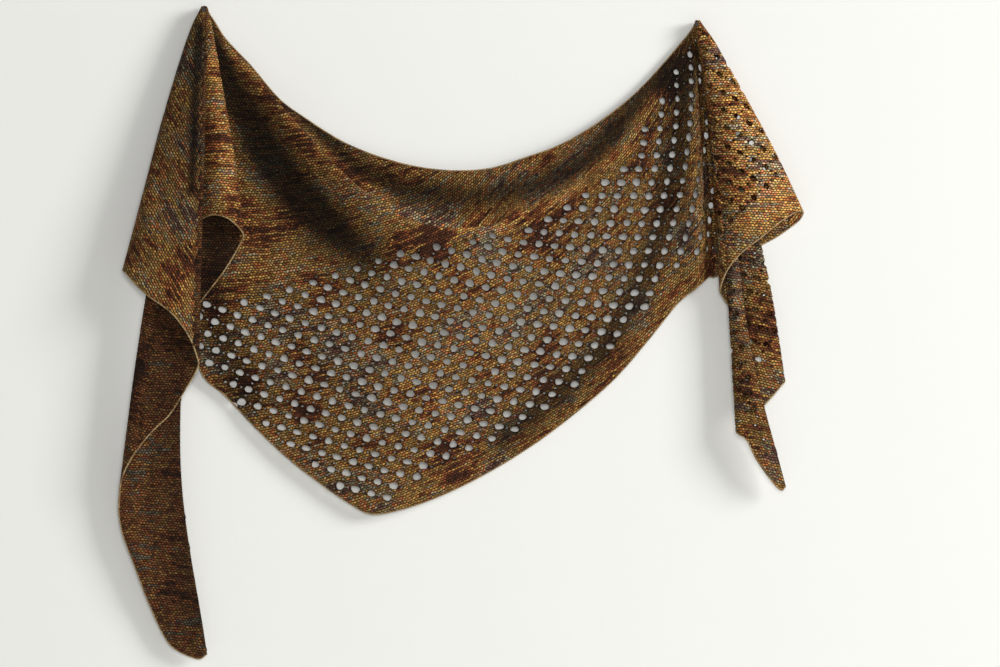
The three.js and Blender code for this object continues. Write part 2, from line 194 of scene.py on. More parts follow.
@dataclass(frozen=True)
class Pin:
    """A wall pin that gathers the cloth.

    Attributes:
        x: place along the wall, in millimetres.
        z: height, in millimetres.
    """

    x: float
    z: float


LEFT_PIN = Pin(0.0, 0.0)
RIGHT_PIN = Pin(542.3, -15.4)


class Tone(Enum):
    """How deep the dye and the painted shade lie on a stretch of the cloth."""

    FACE = "face"
    DEEP = "deep"


@dataclass(frozen=True)
class Stretch:
    """One stretch of the hung cloth that shows.

    Attributes:
        name: the CAD node it stands for.
        rows: its table of sections.
        pin: the pin that its sections hang from, or None in the middle.
        tone: which copy of the knit it shows, the face or a deeper one with darker dyes and painted shade.
        row_turn: the direction of its knitted rows on the flat cloth, in degrees.
    """

    name: str
    rows: tuple
    pin: Pin | None
    tone: Tone
    row_turn: float


STRETCHES = (
    Stretch("left_tail_tip", LEFT_TAIL_TIP_ROWS, LEFT_PIN, Tone.DEEP, 120.0),
    Stretch("left_tail_middle", LEFT_TAIL_MIDDLE_ROWS, LEFT_PIN, Tone.DEEP, -41.0),
    Stretch("left_flap", LEFT_FLAP_ROWS, LEFT_PIN, Tone.FACE, 21.0),
    Stretch("left_pleat_front", LEFT_PLEAT_FRONT_ROWS, LEFT_PIN, Tone.FACE, -10.5),
    Stretch("left_pleat_back", LEFT_PLEAT_BACK_ROWS, LEFT_PIN, Tone.DEEP, 6.5),
    Stretch("hanging_panel", PANEL_ROWS, None, Tone.FACE, 22.0),
    Stretch("right_back_panel", RIGHT_BACK_ROWS, RIGHT_PIN, Tone.FACE, -19.0),
    Stretch("right_flap", RIGHT_FLAP_ROWS, RIGHT_PIN, Tone.FACE, 36.0),
    Stretch("right_tail_back", RIGHT_TAIL_BACK_ROWS, RIGHT_PIN, Tone.FACE, 63.0),
    Stretch("right_tail_front", RIGHT_TAIL_FRONT_ROWS, RIGHT_PIN, Tone.FACE, 38.0),
)


@dataclass(frozen=True)
class Crease:
    """A soft trough or swell that the cloth has taken on, with painted shade along it.

    Attributes:
        stretch: the stretch that it is on.
        path: its middle line, as x and z in millimetres.
        half_width: how wide it is to each side, in millimetres.
        rise: how far it stands out, or in when below zero, in millimetres. At zero it is painted shade only.
        shade: how much painted shade darkens the yarn in it, as a share, or how much painted light brightens
            it when below zero.
    """

    stretch: str
    path: tuple
    half_width: float
    rise: float
    shade: float

    def weight(self, points: np.ndarray) -> np.ndarray:
        """Return how strongly the crease works at each point.

        Args:
            points: places on the hung cloth, in millimetres.

        Returns:
            A weight from 0 to 1 for each.
        """
        flat = points[:, [0, 2]]
        nearest = np.full(len(flat), np.inf)
        for start, end in zip(np.array(self.path[:-1], float), np.array(self.path[1:], float)):
            run = end - start
            share = np.clip((flat - start) @ run / (run @ run), 0, 1)
            nearest = np.minimum(nearest, np.linalg.norm(flat - start - share[:, None] * run, axis=1))
        return np.exp(-((nearest / self.half_width) ** 2))


# The last number of each crease is painted shade laid into the yarn's colour, and painted light where it is
# below zero, for the dark valleys and light ridges that the form alone doesn't give
CREASES = (
    Crease("hanging_panel", ((13, -35), (40, -99), (66, -154), (106, -207), (144, -244), (177, -270)),
           25, -7, 0.8),  # the valley beside the left pleat
    Crease("hanging_panel", ((82, -90), (106, -112), (128, -137), (158, -170), (216, -196), (287, -208),
                             (359, -197), (419, -168), (480, -102), (510, -64)),
           18, -3.5, 0.84),  # the pocket above the ridge
    Crease("hanging_panel", ((9, -20), (51, -72), (106, -132), (155, -178), (216, -224), (271, -240),
                             (326, -233), (392, -206), (458, -154), (496, -97)),
           7, 3, -0.65),  # the ridge
    Crease("hanging_panel", ((535, -46), (521, -121), (510, -187), (496, -253), (471, -319), (436, -374),
                             (386, -425), (326, -471)),
           18, -5, 0.78),  # the valley that runs down from the right pin and along the hem
    Crease("hanging_panel", ((549, -55), (552, -154), (549, -253)),
           6, 2, -0.15),  # the edge of the right gather
    Crease("hanging_panel", ((-1, -302), (11, -352), (26, -396), (44, -427)),
           22, -3, 0.7),  # the shade under the left pleat
    Crease("hanging_panel", ((56, -317), (106, -369), (161, -424), (229, -475)),
           13, -3, 0.2),  # a slack trough across the belly
    Crease("hanging_panel", ((106, -310), (174, -369), (251, -431)),
           14, 2.5, -0.1),  # the swell above that trough
    Crease("hanging_panel", ((35, -343), (88, -411), (139, -469)),
           15, 2, -0.05),  # the swell below that trough
    Crease("hanging_panel", ((326, -264), (293, -352), (249, -429)),
           60, 2, -0.3),  # the fullest part of the belly
    Crease("hanging_panel", ((62, -148), (98, -196), (128, -230)),
           40, -1, 0.38),  # the wide lower end of the valley beside the left pleat
    Crease("hanging_panel", ((4, -10), (11, -38), (20, -72), (33, -105)),
           10, -3, 0.75),  # the narrow start of that valley at the pin
    Crease("left_flap", ((-22, -40), (-36, -130), (-48, -250)),
           48, 0, 0.38),  # the outer half of the flap, darker in the photo, painted shade only
    Crease("left_flap", ((-4, -18), (-7, -60), (-10, -120), (-12, -200)),
           5, -3, 0.8),  # the groove between the flap and the pleat
    Crease("left_pleat_front", ((-2, -18), (-4, -60), (-3, -120), (-3, -200)),
           4, -1, 0.25),  # the pleat's side of that groove
    Crease("right_flap", ((549, -40), (553, -90), (556, -160), (557, -240)),
           5, -2.5, 0.65),  # the groove beside the right gather
    Crease("left_flap", ((0, -22), (-9, -88), (-15, -154)),
           26, -2, 0.15),  # the drawn-in top of the flap
    Crease("left_flap", ((-59, -209), (-48, -264), (-31, -308)),
           15, 2.5, -0.2),  # the soft swell of the flap's corner
    Crease("left_tail_tip", ((-31, -429), (-22, -517), (-15, -605), (-7, -671)),
           24, -3, 0.45),  # the hollow of the left tail
    Crease("left_tail_tip", ((-70, -462), (-78, -517), (-81, -572), (-59, -638)),
           13, 3, -0.25),  # the rounded outer edge of the left tail
    Crease("left_tail_middle", ((-48, -330), (-26, -369), (-37, -418)),
           24, -2, 0.4),  # the shade under the flap
    Crease("left_pleat_front", ((11, -55), (20, -121), (26, -198)),
           13, 2, -0.65),  # the round of the pleat
    Crease("left_pleat_back", ((12, -226), (20, -264), (9, -308)),
           29, -1.5, 0.75),  # the inside of the pleat
    Crease("right_flap", ((565, -55), (570, -143), (572, -242)),
           8, -2, 0.45),  # the fold beside the right gather
    Crease("right_flap", ((580, -60), (612, -150), (632, -215)),
           42, 2.5, -1.1),  # the full side of the right flap
    Crease("right_tail_back", ((587, -275), (592, -363), (598, -429)),
           11, -2, 0.45),  # the hollow of the right tail
    Crease("right_back_panel", ((562, -90), (576, -170), (588, -250)),
           9, -1.5, 0.2),  # a trough of the hidden layer at the right
    Crease("left_tail_tip", ((-14, -120), (-22, -210), (-30, -300)),
           12, -2, 0.2),  # a trough of the hidden layer at the left
    Crease("right_tail_back", ((566, -110), (575, -190), (582, -245)),
           10, -1.5, 0.2),  # a trough above the right tail
    Crease("right_tail_front", ((587, -352), (595, -429), (612, -484)),
           11, -1.5, 0.3),  # the hollow of the front of the right tail
)


def press_creases(hung: np.ndarray, names: np.ndarray) -> np.ndarray:
    """Press the creases into the hung cloth, draw the tops of the gathers together and add up the creases'
    painted shade.

    The layers lie close at a pin, so there is no room for a crease to stand out there: its depth grows with
    the square of the distance from the pin, while its painted shade stays as it is.

    Args:
        hung: the places on the hung form, in millimetres, which are moved.
        names: the stretch that each is on.

    Returns:
        The painted shade at each place, which is painted light where it is below zero.
    """
    painted_shades = np.zeros(len(hung))
    shift = np.zeros(len(hung))
    for crease in CREASES:
        weight = crease.weight(hung) * (names == crease.stretch)
        shift += weight * crease.rise
        # the painted shade or painted light of the crease
        painted_shades += weight * crease.shade
    for pin in (LEFT_PIN, RIGHT_PIN):
        distance = np.hypot(hung[:, 0] - pin.x, hung[:, 2] - pin.z)
        shift *= np.clip(distance / FULL_CREASE_FROM_PIN, 0, 1) ** 2
    hung[:, 1] = np.minimum(hung[:, 1] - shift, -LEAST_OUT)
    for pin in (LEFT_PIN, RIGHT_PIN):
        below = np.clip((pin.z + TOP_ABOVE_PIN - hung[:, 2]) / DRAWN_IN_BELOW, 0, 1)
        beside = np.abs(hung[:, 0] - pin.x) < DRAWN_IN_BELOW
        drawn = np.where(beside, 1 - DRAWN_IN * (1 - below) ** 2, 1)
        hung[:, 0] = pin.x + (hung[:, 0] - pin.x) * drawn
    return np.clip(painted_shades, BRIGHTEST, DARKEST)


def cloth_point(x: float, z: float, out: float) -> np.ndarray:
    """Return the point at x and z that stands out from the wall, in millimetres."""
    return np.array([x, -out, z])


def slopes(points: np.ndarray, knots: np.ndarray) -> np.ndarray:
    """Work out the slope of a smooth curve at each of its guide points.

    Args:
        points: guide points, the first axis runs along the curve.
        knots: the curve's parameter at each point.

    Returns:
        The slopes, in the shape of points.
    """
    step = np.diff(knots).reshape(-1, *([1] * (points.ndim - 1)))
    rate = np.diff(points, axis=0) / step
    result = np.empty_like(points)
    result[0] = rate[0]
    result[-1] = rate[-1]
    before, after = step[:-1], step[1:]
    result[1:-1] = (rate[:-1] * after + rate[1:] * before) / (before + after)
    return result


def smooth_curve(points: np.ndarray, knots: np.ndarray, divisions: tuple) -> np.ndarray:
    """Draw a smooth curve through guide points.

    Args:
        points: guide points, the first axis runs along the curve.
        knots: the curve's parameter at each point.
        divisions: how many steps each span is drawn in.

    Returns:
        The points of the curve.
    """
    slope = slopes(points, knots)
    result = []
    for i, count in enumerate(divisions):
        width = knots[i + 1] - knots[i]
        for t in np.arange(count) / count:
            result.append(
                points[i] * (1 + 2 * t) * (1 - t) ** 2
                + points[i + 1] * t * t * (3 - 2 * t)
                + slope[i] * width * t * (1 - t) ** 2
                + slope[i + 1] * width * t * t * (t - 1)
            )
    result.append(points[-1])
    return np.array(result)


def knots_of(distances: np.ndarray) -> np.ndarray:
    """Return knots that grow with the square root of each distance."""
    return np.concatenate([[0.0], np.cumsum(np.sqrt(np.maximum(distances, SHORTEST_STEP)))])


def finder_of(places: list | np.ndarray) -> KDTree:
    """Return a search for the nearest of some flat places.

    Args:
        places: the places as pairs.

    Returns:
        The search, ready for use.
    """
    finder = KDTree(len(places))
    for k, (x, y) in enumerate(places):
        finder.insert((x, y, 0), k)
    finder.balance()
    return finder


def new_object(name: str, data: bpy.types.ID) -> bpy.types.Object:
    """Put a mesh, a curve, a light or a camera in the scene as an object."""
    thing = bpy.data.objects.new(name, data)
    bpy.context.scene.collection.objects.link(thing)
    return thing


def finished_mesh(thing: bpy.types.Object) -> bpy.types.Mesh:
    """Return a new mesh of an object as its modifiers or its bevel leave it."""
    graph = bpy.context.evaluated_depsgraph_get()
    return bpy.data.meshes.new_from_object(thing.evaluated_get(graph))


@dataclass
class HungForm:
    """The middle surface of the hung cloth, as one smooth grid from tail to tail.

    Attributes:
        across: steps between two sections.
        down: steps in each span of a section, from top to hem.
        grid: the points in millimetres, by column, row and axis.
        first_column: where each stretch starts.
    """

    across: int = 4
    down: tuple = (6, 6, 8, 8, 8)
    grid: np.ndarray = field(init=False)
    first_column: list = field(init=False)

    def __post_init__(self) -> None:
        """Build the grid."""
        sections = []
        self.first_column = []
        for stretch in STRETCHES:
            self.first_column.append(len(sections) * self.across)
            if stretch.pin is None:
                sections += [self.panel_section(row) for row in stretch.rows]
            else:
                sections += [self.fan_section(row, stretch.pin) for row in stretch.rows]
        rails = np.array([self.rail(guides) for guides in sections])
        steps = np.linalg.norm(np.diff(rails, axis=0), axis=2).mean(axis=1)
        self.grid = smooth_curve(rails, knots_of(steps), (self.across,) * (len(rails) - 1))

    @staticmethod
    def panel_section(row: tuple) -> np.ndarray:
        """Work out a section of the hanging middle.

        Args:
            row: its row of the table.

        Returns:
            Its six guide points, from the selvedge to the hem.
        """
        sx, sz, so, tx, tz, to, cx, cz, co, upper, lower, hx, hz, ho = row
        crest = cloth_point(cx, cz, co)
        hem = cloth_point(hx, hz, ho)
        upper_belly = crest + (hem - crest) / 3
        lower_belly = crest + (hem - crest) * 2 / 3
        upper_belly[1] = -upper
        lower_belly[1] = -lower
        selvedge, trough = cloth_point(sx, sz, so), cloth_point(tx, tz, to)
        return np.array([selvedge, trough, crest, upper_belly, lower_belly, hem])

    @staticmethod
    def fan_section(row: tuple, pin: Pin) -> np.ndarray:
        """Work out a ray in the gather at a pin.

        Args:
            row: its row of the table.
            pin: the pin.

        Returns:
            Its six guide points, from the pin to the hem.
        """
        top_x, top_out, hem_x, hem_z, hem_out, sway_high, sway_low, swell = row
        top = cloth_point(pin.x + top_x, pin.z + TOP_ABOVE_PIN, top_out)
        hem = cloth_point(hem_x, hem_z, hem_out)
        guides = []
        for share in FAN_SHARES:
            bow = share * (1 - share)
            point = top * (1 - share) + hem * share
            point[0] += SWAY_SCALE * bow * ((1 - share) * sway_high + share * sway_low)
            point[1] -= SWELL_SCALE * bow * swell
            guides.append(point)
        return np.array(guides)

    def rail(self, guides: np.ndarray) -> np.ndarray:
        """Return one section drawn smooth from top to hem."""
        distances = np.linalg.norm(np.diff(guides, axis=0), axis=1)
        return smooth_curve(guides, knots_of(distances), self.down)

    def stretch_at(self, column: float) -> int:
        """Return the number of the stretch that holds a column."""
        return max(n for n, first in enumerate(self.first_column) if column >= first or n == 0)

    def columns(self, stretch: int) -> slice:
        """Return the columns of the grid that a stretch takes up, with the ones that it shares."""
        ends = self.first_column + [len(self.grid) - 1]
        return slice(ends[stretch], ends[stretch + 1] + 1)

    def at(self, columns: np.ndarray, rows: np.ndarray) -> np.ndarray:
        """Evaluate the surface between its grid points.

        Args:
            columns: places across the grid, with fractions.
            rows: places down the grid, with fractions.

        Returns:
            The points, in millimetres.
        """
        count, depth, _ = self.grid.shape
        i = np.clip(np.floor(columns).astype(int), 0, count - 2)
        j = np.clip(np.floor(rows).astype(int), 0, depth - 2)
        weights_across = self.spline_weights(columns - i)
        weights_down = self.spline_weights(rows - j)
        result = np.zeros((len(i), 3))
        for a, wa in enumerate(weights_across):
            column = np.clip(i + a - 1, 0, count - 1)
            for b, wb in enumerate(weights_down):
                row = np.clip(j + b - 1, 0, depth - 1)
                result += (wa * wb)[:, None] * self.grid[column, row]
        return result

    @staticmethod
    def spline_weights(t: np.ndarray) -> tuple:
        """Return the four weights of a smooth spline at each fraction t."""
        return (
            0.5 * (-t + 2 * t**2 - t**3),
            0.5 * (2 - 5 * t**2 + 3 * t**3),
            0.5 * (t + 4 * t**2 - 3 * t**3),
            0.5 * (-(t**2) + t**3),
        )


@dataclass
class FlatCut:
    """The hung cloth laid flat, with the selvedge upwards, in millimetres.

    Attributes:
        form: the hung form.
        flat: the flat place of each grid point, by column, row and axis.
        tree: the search for the place on the flat cloth nearest to a point.
        rim: the search for the nearest point of its edge.
        rim_points: the points of its edge.
        hem_count: how many of them are on the hem.
    """

    form: HungForm
    flat: np.ndarray = field(init=False)
    tree: BVHTree = field(init=False)
    rim: KDTree = field(init=False)
    rim_points: np.ndarray = field(init=False)
    hem_count: int = field(init=False, default=0)

    def __post_init__(self) -> None:
        """Lay the form flat and prepare the searches on it."""
        self.flat = self.level(self.unwrap())
        count, depth, _ = self.flat.shape
        points = [Vector((x, y, 0)) for x, y in self.flat.reshape(-1, 2)]
        triangles = []
        for i in range(count - 1):
            for j in range(depth - 1):
                a, b = i * depth + j, (i + 1) * depth + j
                triangles += [(a, b, b + 1), (a, b + 1, a + 1)]
        self.tree = BVHTree.FromPolygons(points, triangles)
        self.rim_points = self.dense_rim()
        self.rim = finder_of(self.rim_points)

    def unwrap(self) -> np.ndarray:
        """Spread the form on the plane with the least stretch, with Blender's own unwrapping.

        Returns:
            The flat place of each grid point in the unwrapping's own units.
        """
        count, depth, _ = self.form.grid.shape
        net = bmesh.new()
        bmesh.ops.create_grid(net, x_segments=count - 1, y_segments=depth - 1, size=0.5)
        place = net.verts.layers.int.new("place")
        for vert in net.verts:
            i = round((vert.co.x + 0.5) * (count - 1))
            j = round((0.5 - vert.co.y) * (depth - 1))
            vert[place] = i * depth + j
            vert.co = self.form.grid[i, j] * MM
        mesh = bpy.data.meshes.new("cloth_to_unwrap")
        net.to_mesh(mesh)
        net.free()
        mesh.uv_layers.new(name="flat")
        sheet = new_object("cloth_to_unwrap", mesh)
        for other in bpy.context.selected_objects:
            other.select_set(False)
        bpy.context.view_layer.objects.active = sheet
        sheet.select_set(True)
        bpy.ops.object.mode_set(mode="EDIT")
        bpy.ops.mesh.select_all(action="SELECT")
        bpy.ops.uv.unwrap(method="MINIMUM_STRETCH", fill_holes=False, iterations=40, margin=0.0)
        bpy.ops.object.mode_set(mode="OBJECT")
        corners = np.zeros(len(mesh.loops) * 2)
        mesh.uv_layers["flat"].data.foreach_get("uv", corners)
        owners = np.zeros(len(mesh.loops), dtype=np.int32)
        mesh.loops.foreach_get("vertex_index", owners)
        places = np.zeros(len(mesh.vertices), dtype=np.int32)
        mesh.attributes["place"].data.foreach_get("value", places)
        flat = np.zeros((count * depth, 2))
        flat[places[owners]] = corners.reshape(-1, 2)
        bpy.data.objects.remove(sheet)
        bpy.data.meshes.remove(mesh)
        return flat.reshape(count, depth, 2)

    def level(self, flat: np.ndarray) -> np.ndarray:
        """Scale the flat cloth to real size and turn it so that the pins lie level.

        Args:
            flat: the flat places in any scale and turn.

        Returns:
            The flat places in millimetres, the left pin at the origin and the hem below.
        """
        real = np.linalg.norm(np.diff(self.form.grid, axis=1), axis=2).sum()
        flat = flat * real / np.linalg.norm(np.diff(flat, axis=1), axis=2).sum()
        panel = [stretch.pin for stretch in STRETCHES].index(None)
        left, right = self.form.first_column[panel:panel + 2]
        start, end = flat[left, 0], flat[right, 0]
        along = (end - start) / np.linalg.norm(end - start)
        across = np.array([-along[1], along[0]])
        level = np.stack([(flat - start) @ along, (flat - start) @ across], axis=-1)
        if level[:, -1, 1].mean() > 0:
            level[..., 1] *= -1
        return level

    def dense_rim(self) -> np.ndarray:
        """Draw the edge of the flat cloth and count the points of its hem.

        Returns:
            Close points all round the edge, the hem first.
        """
        flat = self.flat
        points = []
        for side in (flat[:, -1], flat[-1, ::-1], flat[::-1, 0], flat[0]):
            for a, b in zip(side[:-1], side[1:]):
                count = max(1, int(np.linalg.norm(b - a) / RIM_STEP))
                points += [a + (b - a) * k / count for k in range(count)]
            self.hem_count = self.hem_count or len(points)
        return np.array(points)

    def hung_place(self, x: float, y: float) -> tuple[float, float, float]:
        """Find where a flat point lies on the form.

        Args:
            x: flat place along the selvedge.
            y: flat place across it.

        Returns:
            The column and the row on the grid, with fractions, and the distance outside the cloth.
        """
        point, _, index, distance = self.tree.find_nearest(Vector((x, y, 0)))
        depth = self.flat.shape[1]
        cell, second = divmod(index, 2)
        i, j = divmod(cell, depth - 1)
        corner = self.flat[i, j]
        ahead = self.flat[i + 1, j + 1] - corner
        side = (self.flat[i, j + 1] if second else self.flat[i + 1, j]) - corner
        q = np.array([point.x, point.y]) - corner
        det = ahead[0] * side[1] - ahead[1] * side[0]
        s = (q[0] * side[1] - q[1] * side[0]) / det
        t = (ahead[0] * q[1] - ahead[1] * q[0]) / det
        return (i + s, j + s + t, distance) if second else (i + s + t, j + s, distance)

    def hang(self, points: list) -> np.ndarray:
        """Put flat points on the hung form.

        Args:
            points: flat places as pairs.

        Returns:
            Their places on the form, in millimetres.
        """
        places = np.array([self.hung_place(x, y)[:2] for x, y in points])
        return self.form.at(places[:, 0], places[:, 1])


@dataclass(frozen=True)
class Eyelet:
    """An opening in the lace.

    Attributes:
        x: flat place of its middle along the selvedge, in millimetres.
        y: flat place of its middle across the cloth.
        wide: its half width along the row direction of the repeat.
        high: its half height.
        lean: where its uneven outline bulges, in radians.
    """

    x: float
    y: float
    wide: float
    high: float
    lean: float


@dataclass(frozen=True)
class LaceZone:
    """Where the lace lies on the flat cloth, in millimetres.

    Attributes:
        top: x and y of the line above which the knitting is solid.
        hem_border: x and width of the solid band along the hem.
        selvedge_border: width of the solid band along the selvedge.
    """

    top: tuple = (
        (70, -318), (113, -303), (179, -272), (261, -236), (369, -205), (442, -184), (513, -155),
        (552, -132), (601, -84), (661, -32), (690, 60),
    )
    hem_border: tuple = (
        (120, 9), (300, 12), (355, 34), (420, 27), (700, 24), (760, 34), (900, 34), (1150, 22),
    )
    selvedge_border: float = 9.0

    def holds(self, cut: FlatCut, x: float, y: float) -> bool:
        """Tell whether a flat point lies in the lace.

        Args:
            cut: the flat cut.
            x: flat place along the selvedge.
            y: flat place across the cloth.

        Returns:
            Whether it does.
        """
        tops = np.array(self.top)
        if x < tops[0, 0] or y > np.interp(x, tops[:, 0], tops[:, 1]):
            return False
        point, index, distance = cut.rim.find((x, y, 0))
        if index < cut.hem_count:
            borders = np.array(self.hem_border)
            return distance > np.interp(point.x, borders[:, 0], borders[:, 1])
        return distance > self.selvedge_border


@dataclass
class KnitCloth:
    """The whole cloth, knitted flat as a net of faces and hung on its form.

    Attributes:
        cut: the flat cut and the form.
        zone: where the lace lies.
        along: the step from one big eyelet to the next along the cloth, in millimetres.
        below: the step to the next line of eyelets.
        big_eyelet: half width and half height of a big eyelet.
        small_eyelet: the same for the small ones between them.
        unevenness: how far the eyelets differ in size and shape, as a share.
        scatter: how far they stray from their places, in millimetres.
        seed: the start of the row of random numbers for both.
        slits: where along the cloth the eyelets start to be drawn to slits and where they are fully so, and
            what that does to their width and height.
        kept_band: how much of its own face stays around a big and a small eyelet until it is rounded.
        own_edge: how far an eyelet's own edge may lie from its middle, as a share of its half width, and
            the millimetres that come on top.
        room: the least share of an eyelet's size at which the net starts, the share at which it is to start,
            and the share up to which it is pushed.
        rim_roll: how far the edge of an eyelet rolls back, in millimetres.
        fan: slant of the rows of the panel at the left pin, and how much it grows for each millimetre.
        fan_pitch: share of a full ridge that the fanned rows lie apart.
        outside: how far outside the outline a face may lie before it is cut off.
        bend_tolerance: how far an edge may stand off the hung form.
        shortest_edge: edges under this length aren't parted any more.
        partings: how often the edges that bend are parted at most.
        weld: edge points closer than this are made one.
    """

    cut: FlatCut
    zone: LaceZone = LaceZone()
    along: tuple = (17.4, -2.8)
    below: tuple = (-6.3, -14.1)
    big_eyelet: tuple = (5.2, 4.3)
    small_eyelet: tuple = (1.9, 1.6)
    unevenness: float = 0.12
    scatter: float = 0.5
    seed: int = 11
    slits: tuple = (560.0, 640.0, 0.62, 1.12)
    kept_band: tuple = (0.5, 2.6)
    own_edge: tuple = (1.7, 0.8)
    room: tuple = (0.7, 1.07, 1.4)
    rim_roll: float = 0.8
    fan: tuple = (0.10, 0.0012)
    fan_pitch: float = 0.93
    outside: float = 1.8
    bend_tolerance: float = 0.3
    shortest_edge: float = 0.9
    partings: int = 4
    weld: float = 0.4

    def half_steps(self) -> Matrix:
        """Return the matrix that takes counts of half steps to flat places."""
        return Matrix(((self.along[0] / 2, self.below[0] / 2), (self.along[1] / 2, self.below[1] / 2)))

    def counts(self, x: float, y: float) -> tuple[float, float]:
        """Return a flat place in counts of half steps along and below."""
        place = self.half_steps().inverted() @ Vector((x, y))
        return place.x, place.y

    def axes(self) -> tuple[Vector, Vector]:
        """Return the directions in which an eyelet is wide and high."""
        tilt = Vector(self.along).normalized()
        return tilt, Vector((-tilt.y, tilt.x))

    def blank(self) -> bmesh.types.BMesh:
        """Lay out the net.

        Returns:
            A net of faces, half a step wide, that covers the flat cloth.
        """
        west, south = self.cut.rim_points.min(axis=0)
        east, north = self.cut.rim_points.max(axis=0)
        corners = [self.counts(x, y) for x in (west, east) for y in (south, north)]
        low = [math.floor(min(c[k] for c in corners)) - 1.5 for k in (0, 1)]
        high = [math.ceil(max(c[k] for c in corners)) + 1.5 for k in (0, 1)]
        spans = [round(high[k] - low[k]) for k in (0, 1)]
        net = bmesh.new()
        bmesh.ops.create_grid(net, x_segments=spans[0], y_segments=spans[1], size=0.5)
        step = self.half_steps()
        for vert in net.verts:
            vert.co.xy = step @ Vector([(vert.co[k] + 0.5) * spans[k] + low[k] for k in (0, 1)])
        return net

    def trim(self, net: bmesh.types.BMesh) -> None:
        """Cut the net to the outline of the flat cloth.

        Args:
            net: the net.
        """
        surplus = []
        for face in net.faces:
            middle = face.calc_center_median()
            if self.cut.hung_place(middle.x, middle.y)[2] > self.outside:
                surplus.append(face)
        bmesh.ops.delete(net, geom=surplus, context="FACES")

    def open_eyelets(self, net: bmesh.types.BMesh) -> list[Eyelet]:
        """Cut the eyelets out of the net.

        Args:
            net: the trimmed net.

        Returns:
            The eyelets that were cut.
        """
        chance = random.Random(self.seed)
        big, small, eyelets = [], [], []
        for face in net.faces:
            middle = face.calc_center_median()
            if not self.zone.holds(self.cut, middle.x, middle.y):
                continue
            k, l = (round(c) for c in self.counts(middle.x, middle.y))
            if k % 2 and l % 2:
                continue
            faces, half = (small, self.small_eyelet) if k % 2 or l % 2 else (big, self.big_eyelet)
            faces.append(face)
            wide, high = (side * (1 + self.unevenness * chance.uniform(-1, 1)) for side in half)
            x, y = (place + self.scatter * chance.uniform(-1, 1) for place in middle.xy)
            slit = np.interp(x, self.slits[:2], (0, 1))
            wide *= 1 - (1 - self.slits[2]) * slit
            high *= 1 + (self.slits[3] - 1) * slit
            eyelets.append(Eyelet(x, y, wide, high, chance.uniform(0, math.tau)))
        for faces, band in zip((big, small), self.kept_band):
            bmesh.ops.inset_individual(net, faces=faces, thickness=band, use_even_offset=True)
        bmesh.ops.delete(net, geom=big + small, context="FACES")
        return eyelets

    @staticmethod
    def soften(net: bmesh.types.BMesh) -> bmesh.types.BMesh:
        """Part each face in four and round its corners.

        Args:
            net: the net, which is used up.

        Returns:
            The new net.
        """
        mesh = bpy.data.meshes.new("net")
        net.to_mesh(mesh)
        net.free()
        holder = new_object("net", mesh)
        rounder = holder.modifiers.new("round", "SUBSURF")
        rounder.levels = rounder.render_levels = 1
        softened = finished_mesh(holder)
        result = bmesh.new()
        result.from_mesh(softened)
        bpy.data.objects.remove(holder)
        bpy.data.meshes.remove(mesh)
        bpy.data.meshes.remove(softened)
        return result

    def round_edges(self, net: bmesh.types.BMesh, eyelets: list[Eyelet]) -> None:
        """Round each eyelet and pull the outer edge onto the outline.

        Args:
            net: the softened net.
            eyelets: the eyelets that it holds.
        """
        finder = finder_of([(eyelet.x, eyelet.y) for eyelet in eyelets])
        edges = [edge for edge in net.edges if edge.is_boundary]
        rims = [edge for edge in edges if self.nearest(finder, eyelets, edge.verts[0])]
        bmesh.ops.subdivide_edges(net, edges=rims, cuts=1)
        tilt, upright = self.axes()
        rim = net.verts.layers.float.new("rim")
        for vert in [v for v in net.verts if v.is_boundary]:
            eyelet = self.nearest(finder, eyelets, vert)
            if eyelet is None:
                vert.co = Vector((*self.cut.rim_points[self.cut.rim.find(vert.co)[1]], 0))
                continue
            vert[rim] = 1.0
            middle = Vector((eyelet.x, eyelet.y))
            arm = vert.co.xy - middle
            wide, high = arm.dot(tilt) / eyelet.wide, arm.dot(upright) / eyelet.high
            bulge = 1 + self.unevenness / 2 * math.cos(3 * math.atan2(high, wide) + eyelet.lean)
            size = math.hypot(wide, high) / bulge
            vert.co.xy = middle + tilt * (wide / size * eyelet.wide) + upright * (high / size * eyelet.high)
        least_big = (self.small_eyelet[1] + self.big_eyelet[1]) / 2
        self.make_room(net, [eyelet for eyelet in eyelets if eyelet.high > least_big])
        bmesh.ops.remove_doubles(net, verts=[v for v in net.verts if v.is_boundary], dist=self.weld)

    def make_room(self, net: bmesh.types.BMesh, eyelets: list[Eyelet]) -> None:
        """Push the knitting around each big eyelet together, outside its rounded edge.

        Args:
            net: the net with rounded eyelets.
            eyelets: the big eyelets.
        """
        finder = finder_of([(eyelet.x, eyelet.y) for eyelet in eyelets])
        tilt, upright = self.axes()
        nearest, least, reach = self.room
        for vert in [v for v in net.verts if not v.is_boundary]:
            eyelet = eyelets[finder.find(vert.co)[1]]
            middle = Vector((eyelet.x, eyelet.y))
            arm = vert.co.xy - middle
            size = math.hypot(arm.dot(tilt) / eyelet.wide, arm.dot(upright) / eyelet.high)
            if size < reach:
                pushed = least + max(size - nearest, 0.0) / (reach - nearest) * (reach - least)
                vert.co.xy = middle + arm * (pushed / size)

    def nearest(self, finder: KDTree, eyelets: list[Eyelet], vert: bmesh.types.BMVert) -> Eyelet | None:
        """Return the eyelet that a vertex on an edge belongs to, if it belongs to one."""
        _, index, distance = finder.find(vert.co)
        share, more = self.own_edge
        return eyelets[index] if distance < share * eyelets[index].wide + more else None

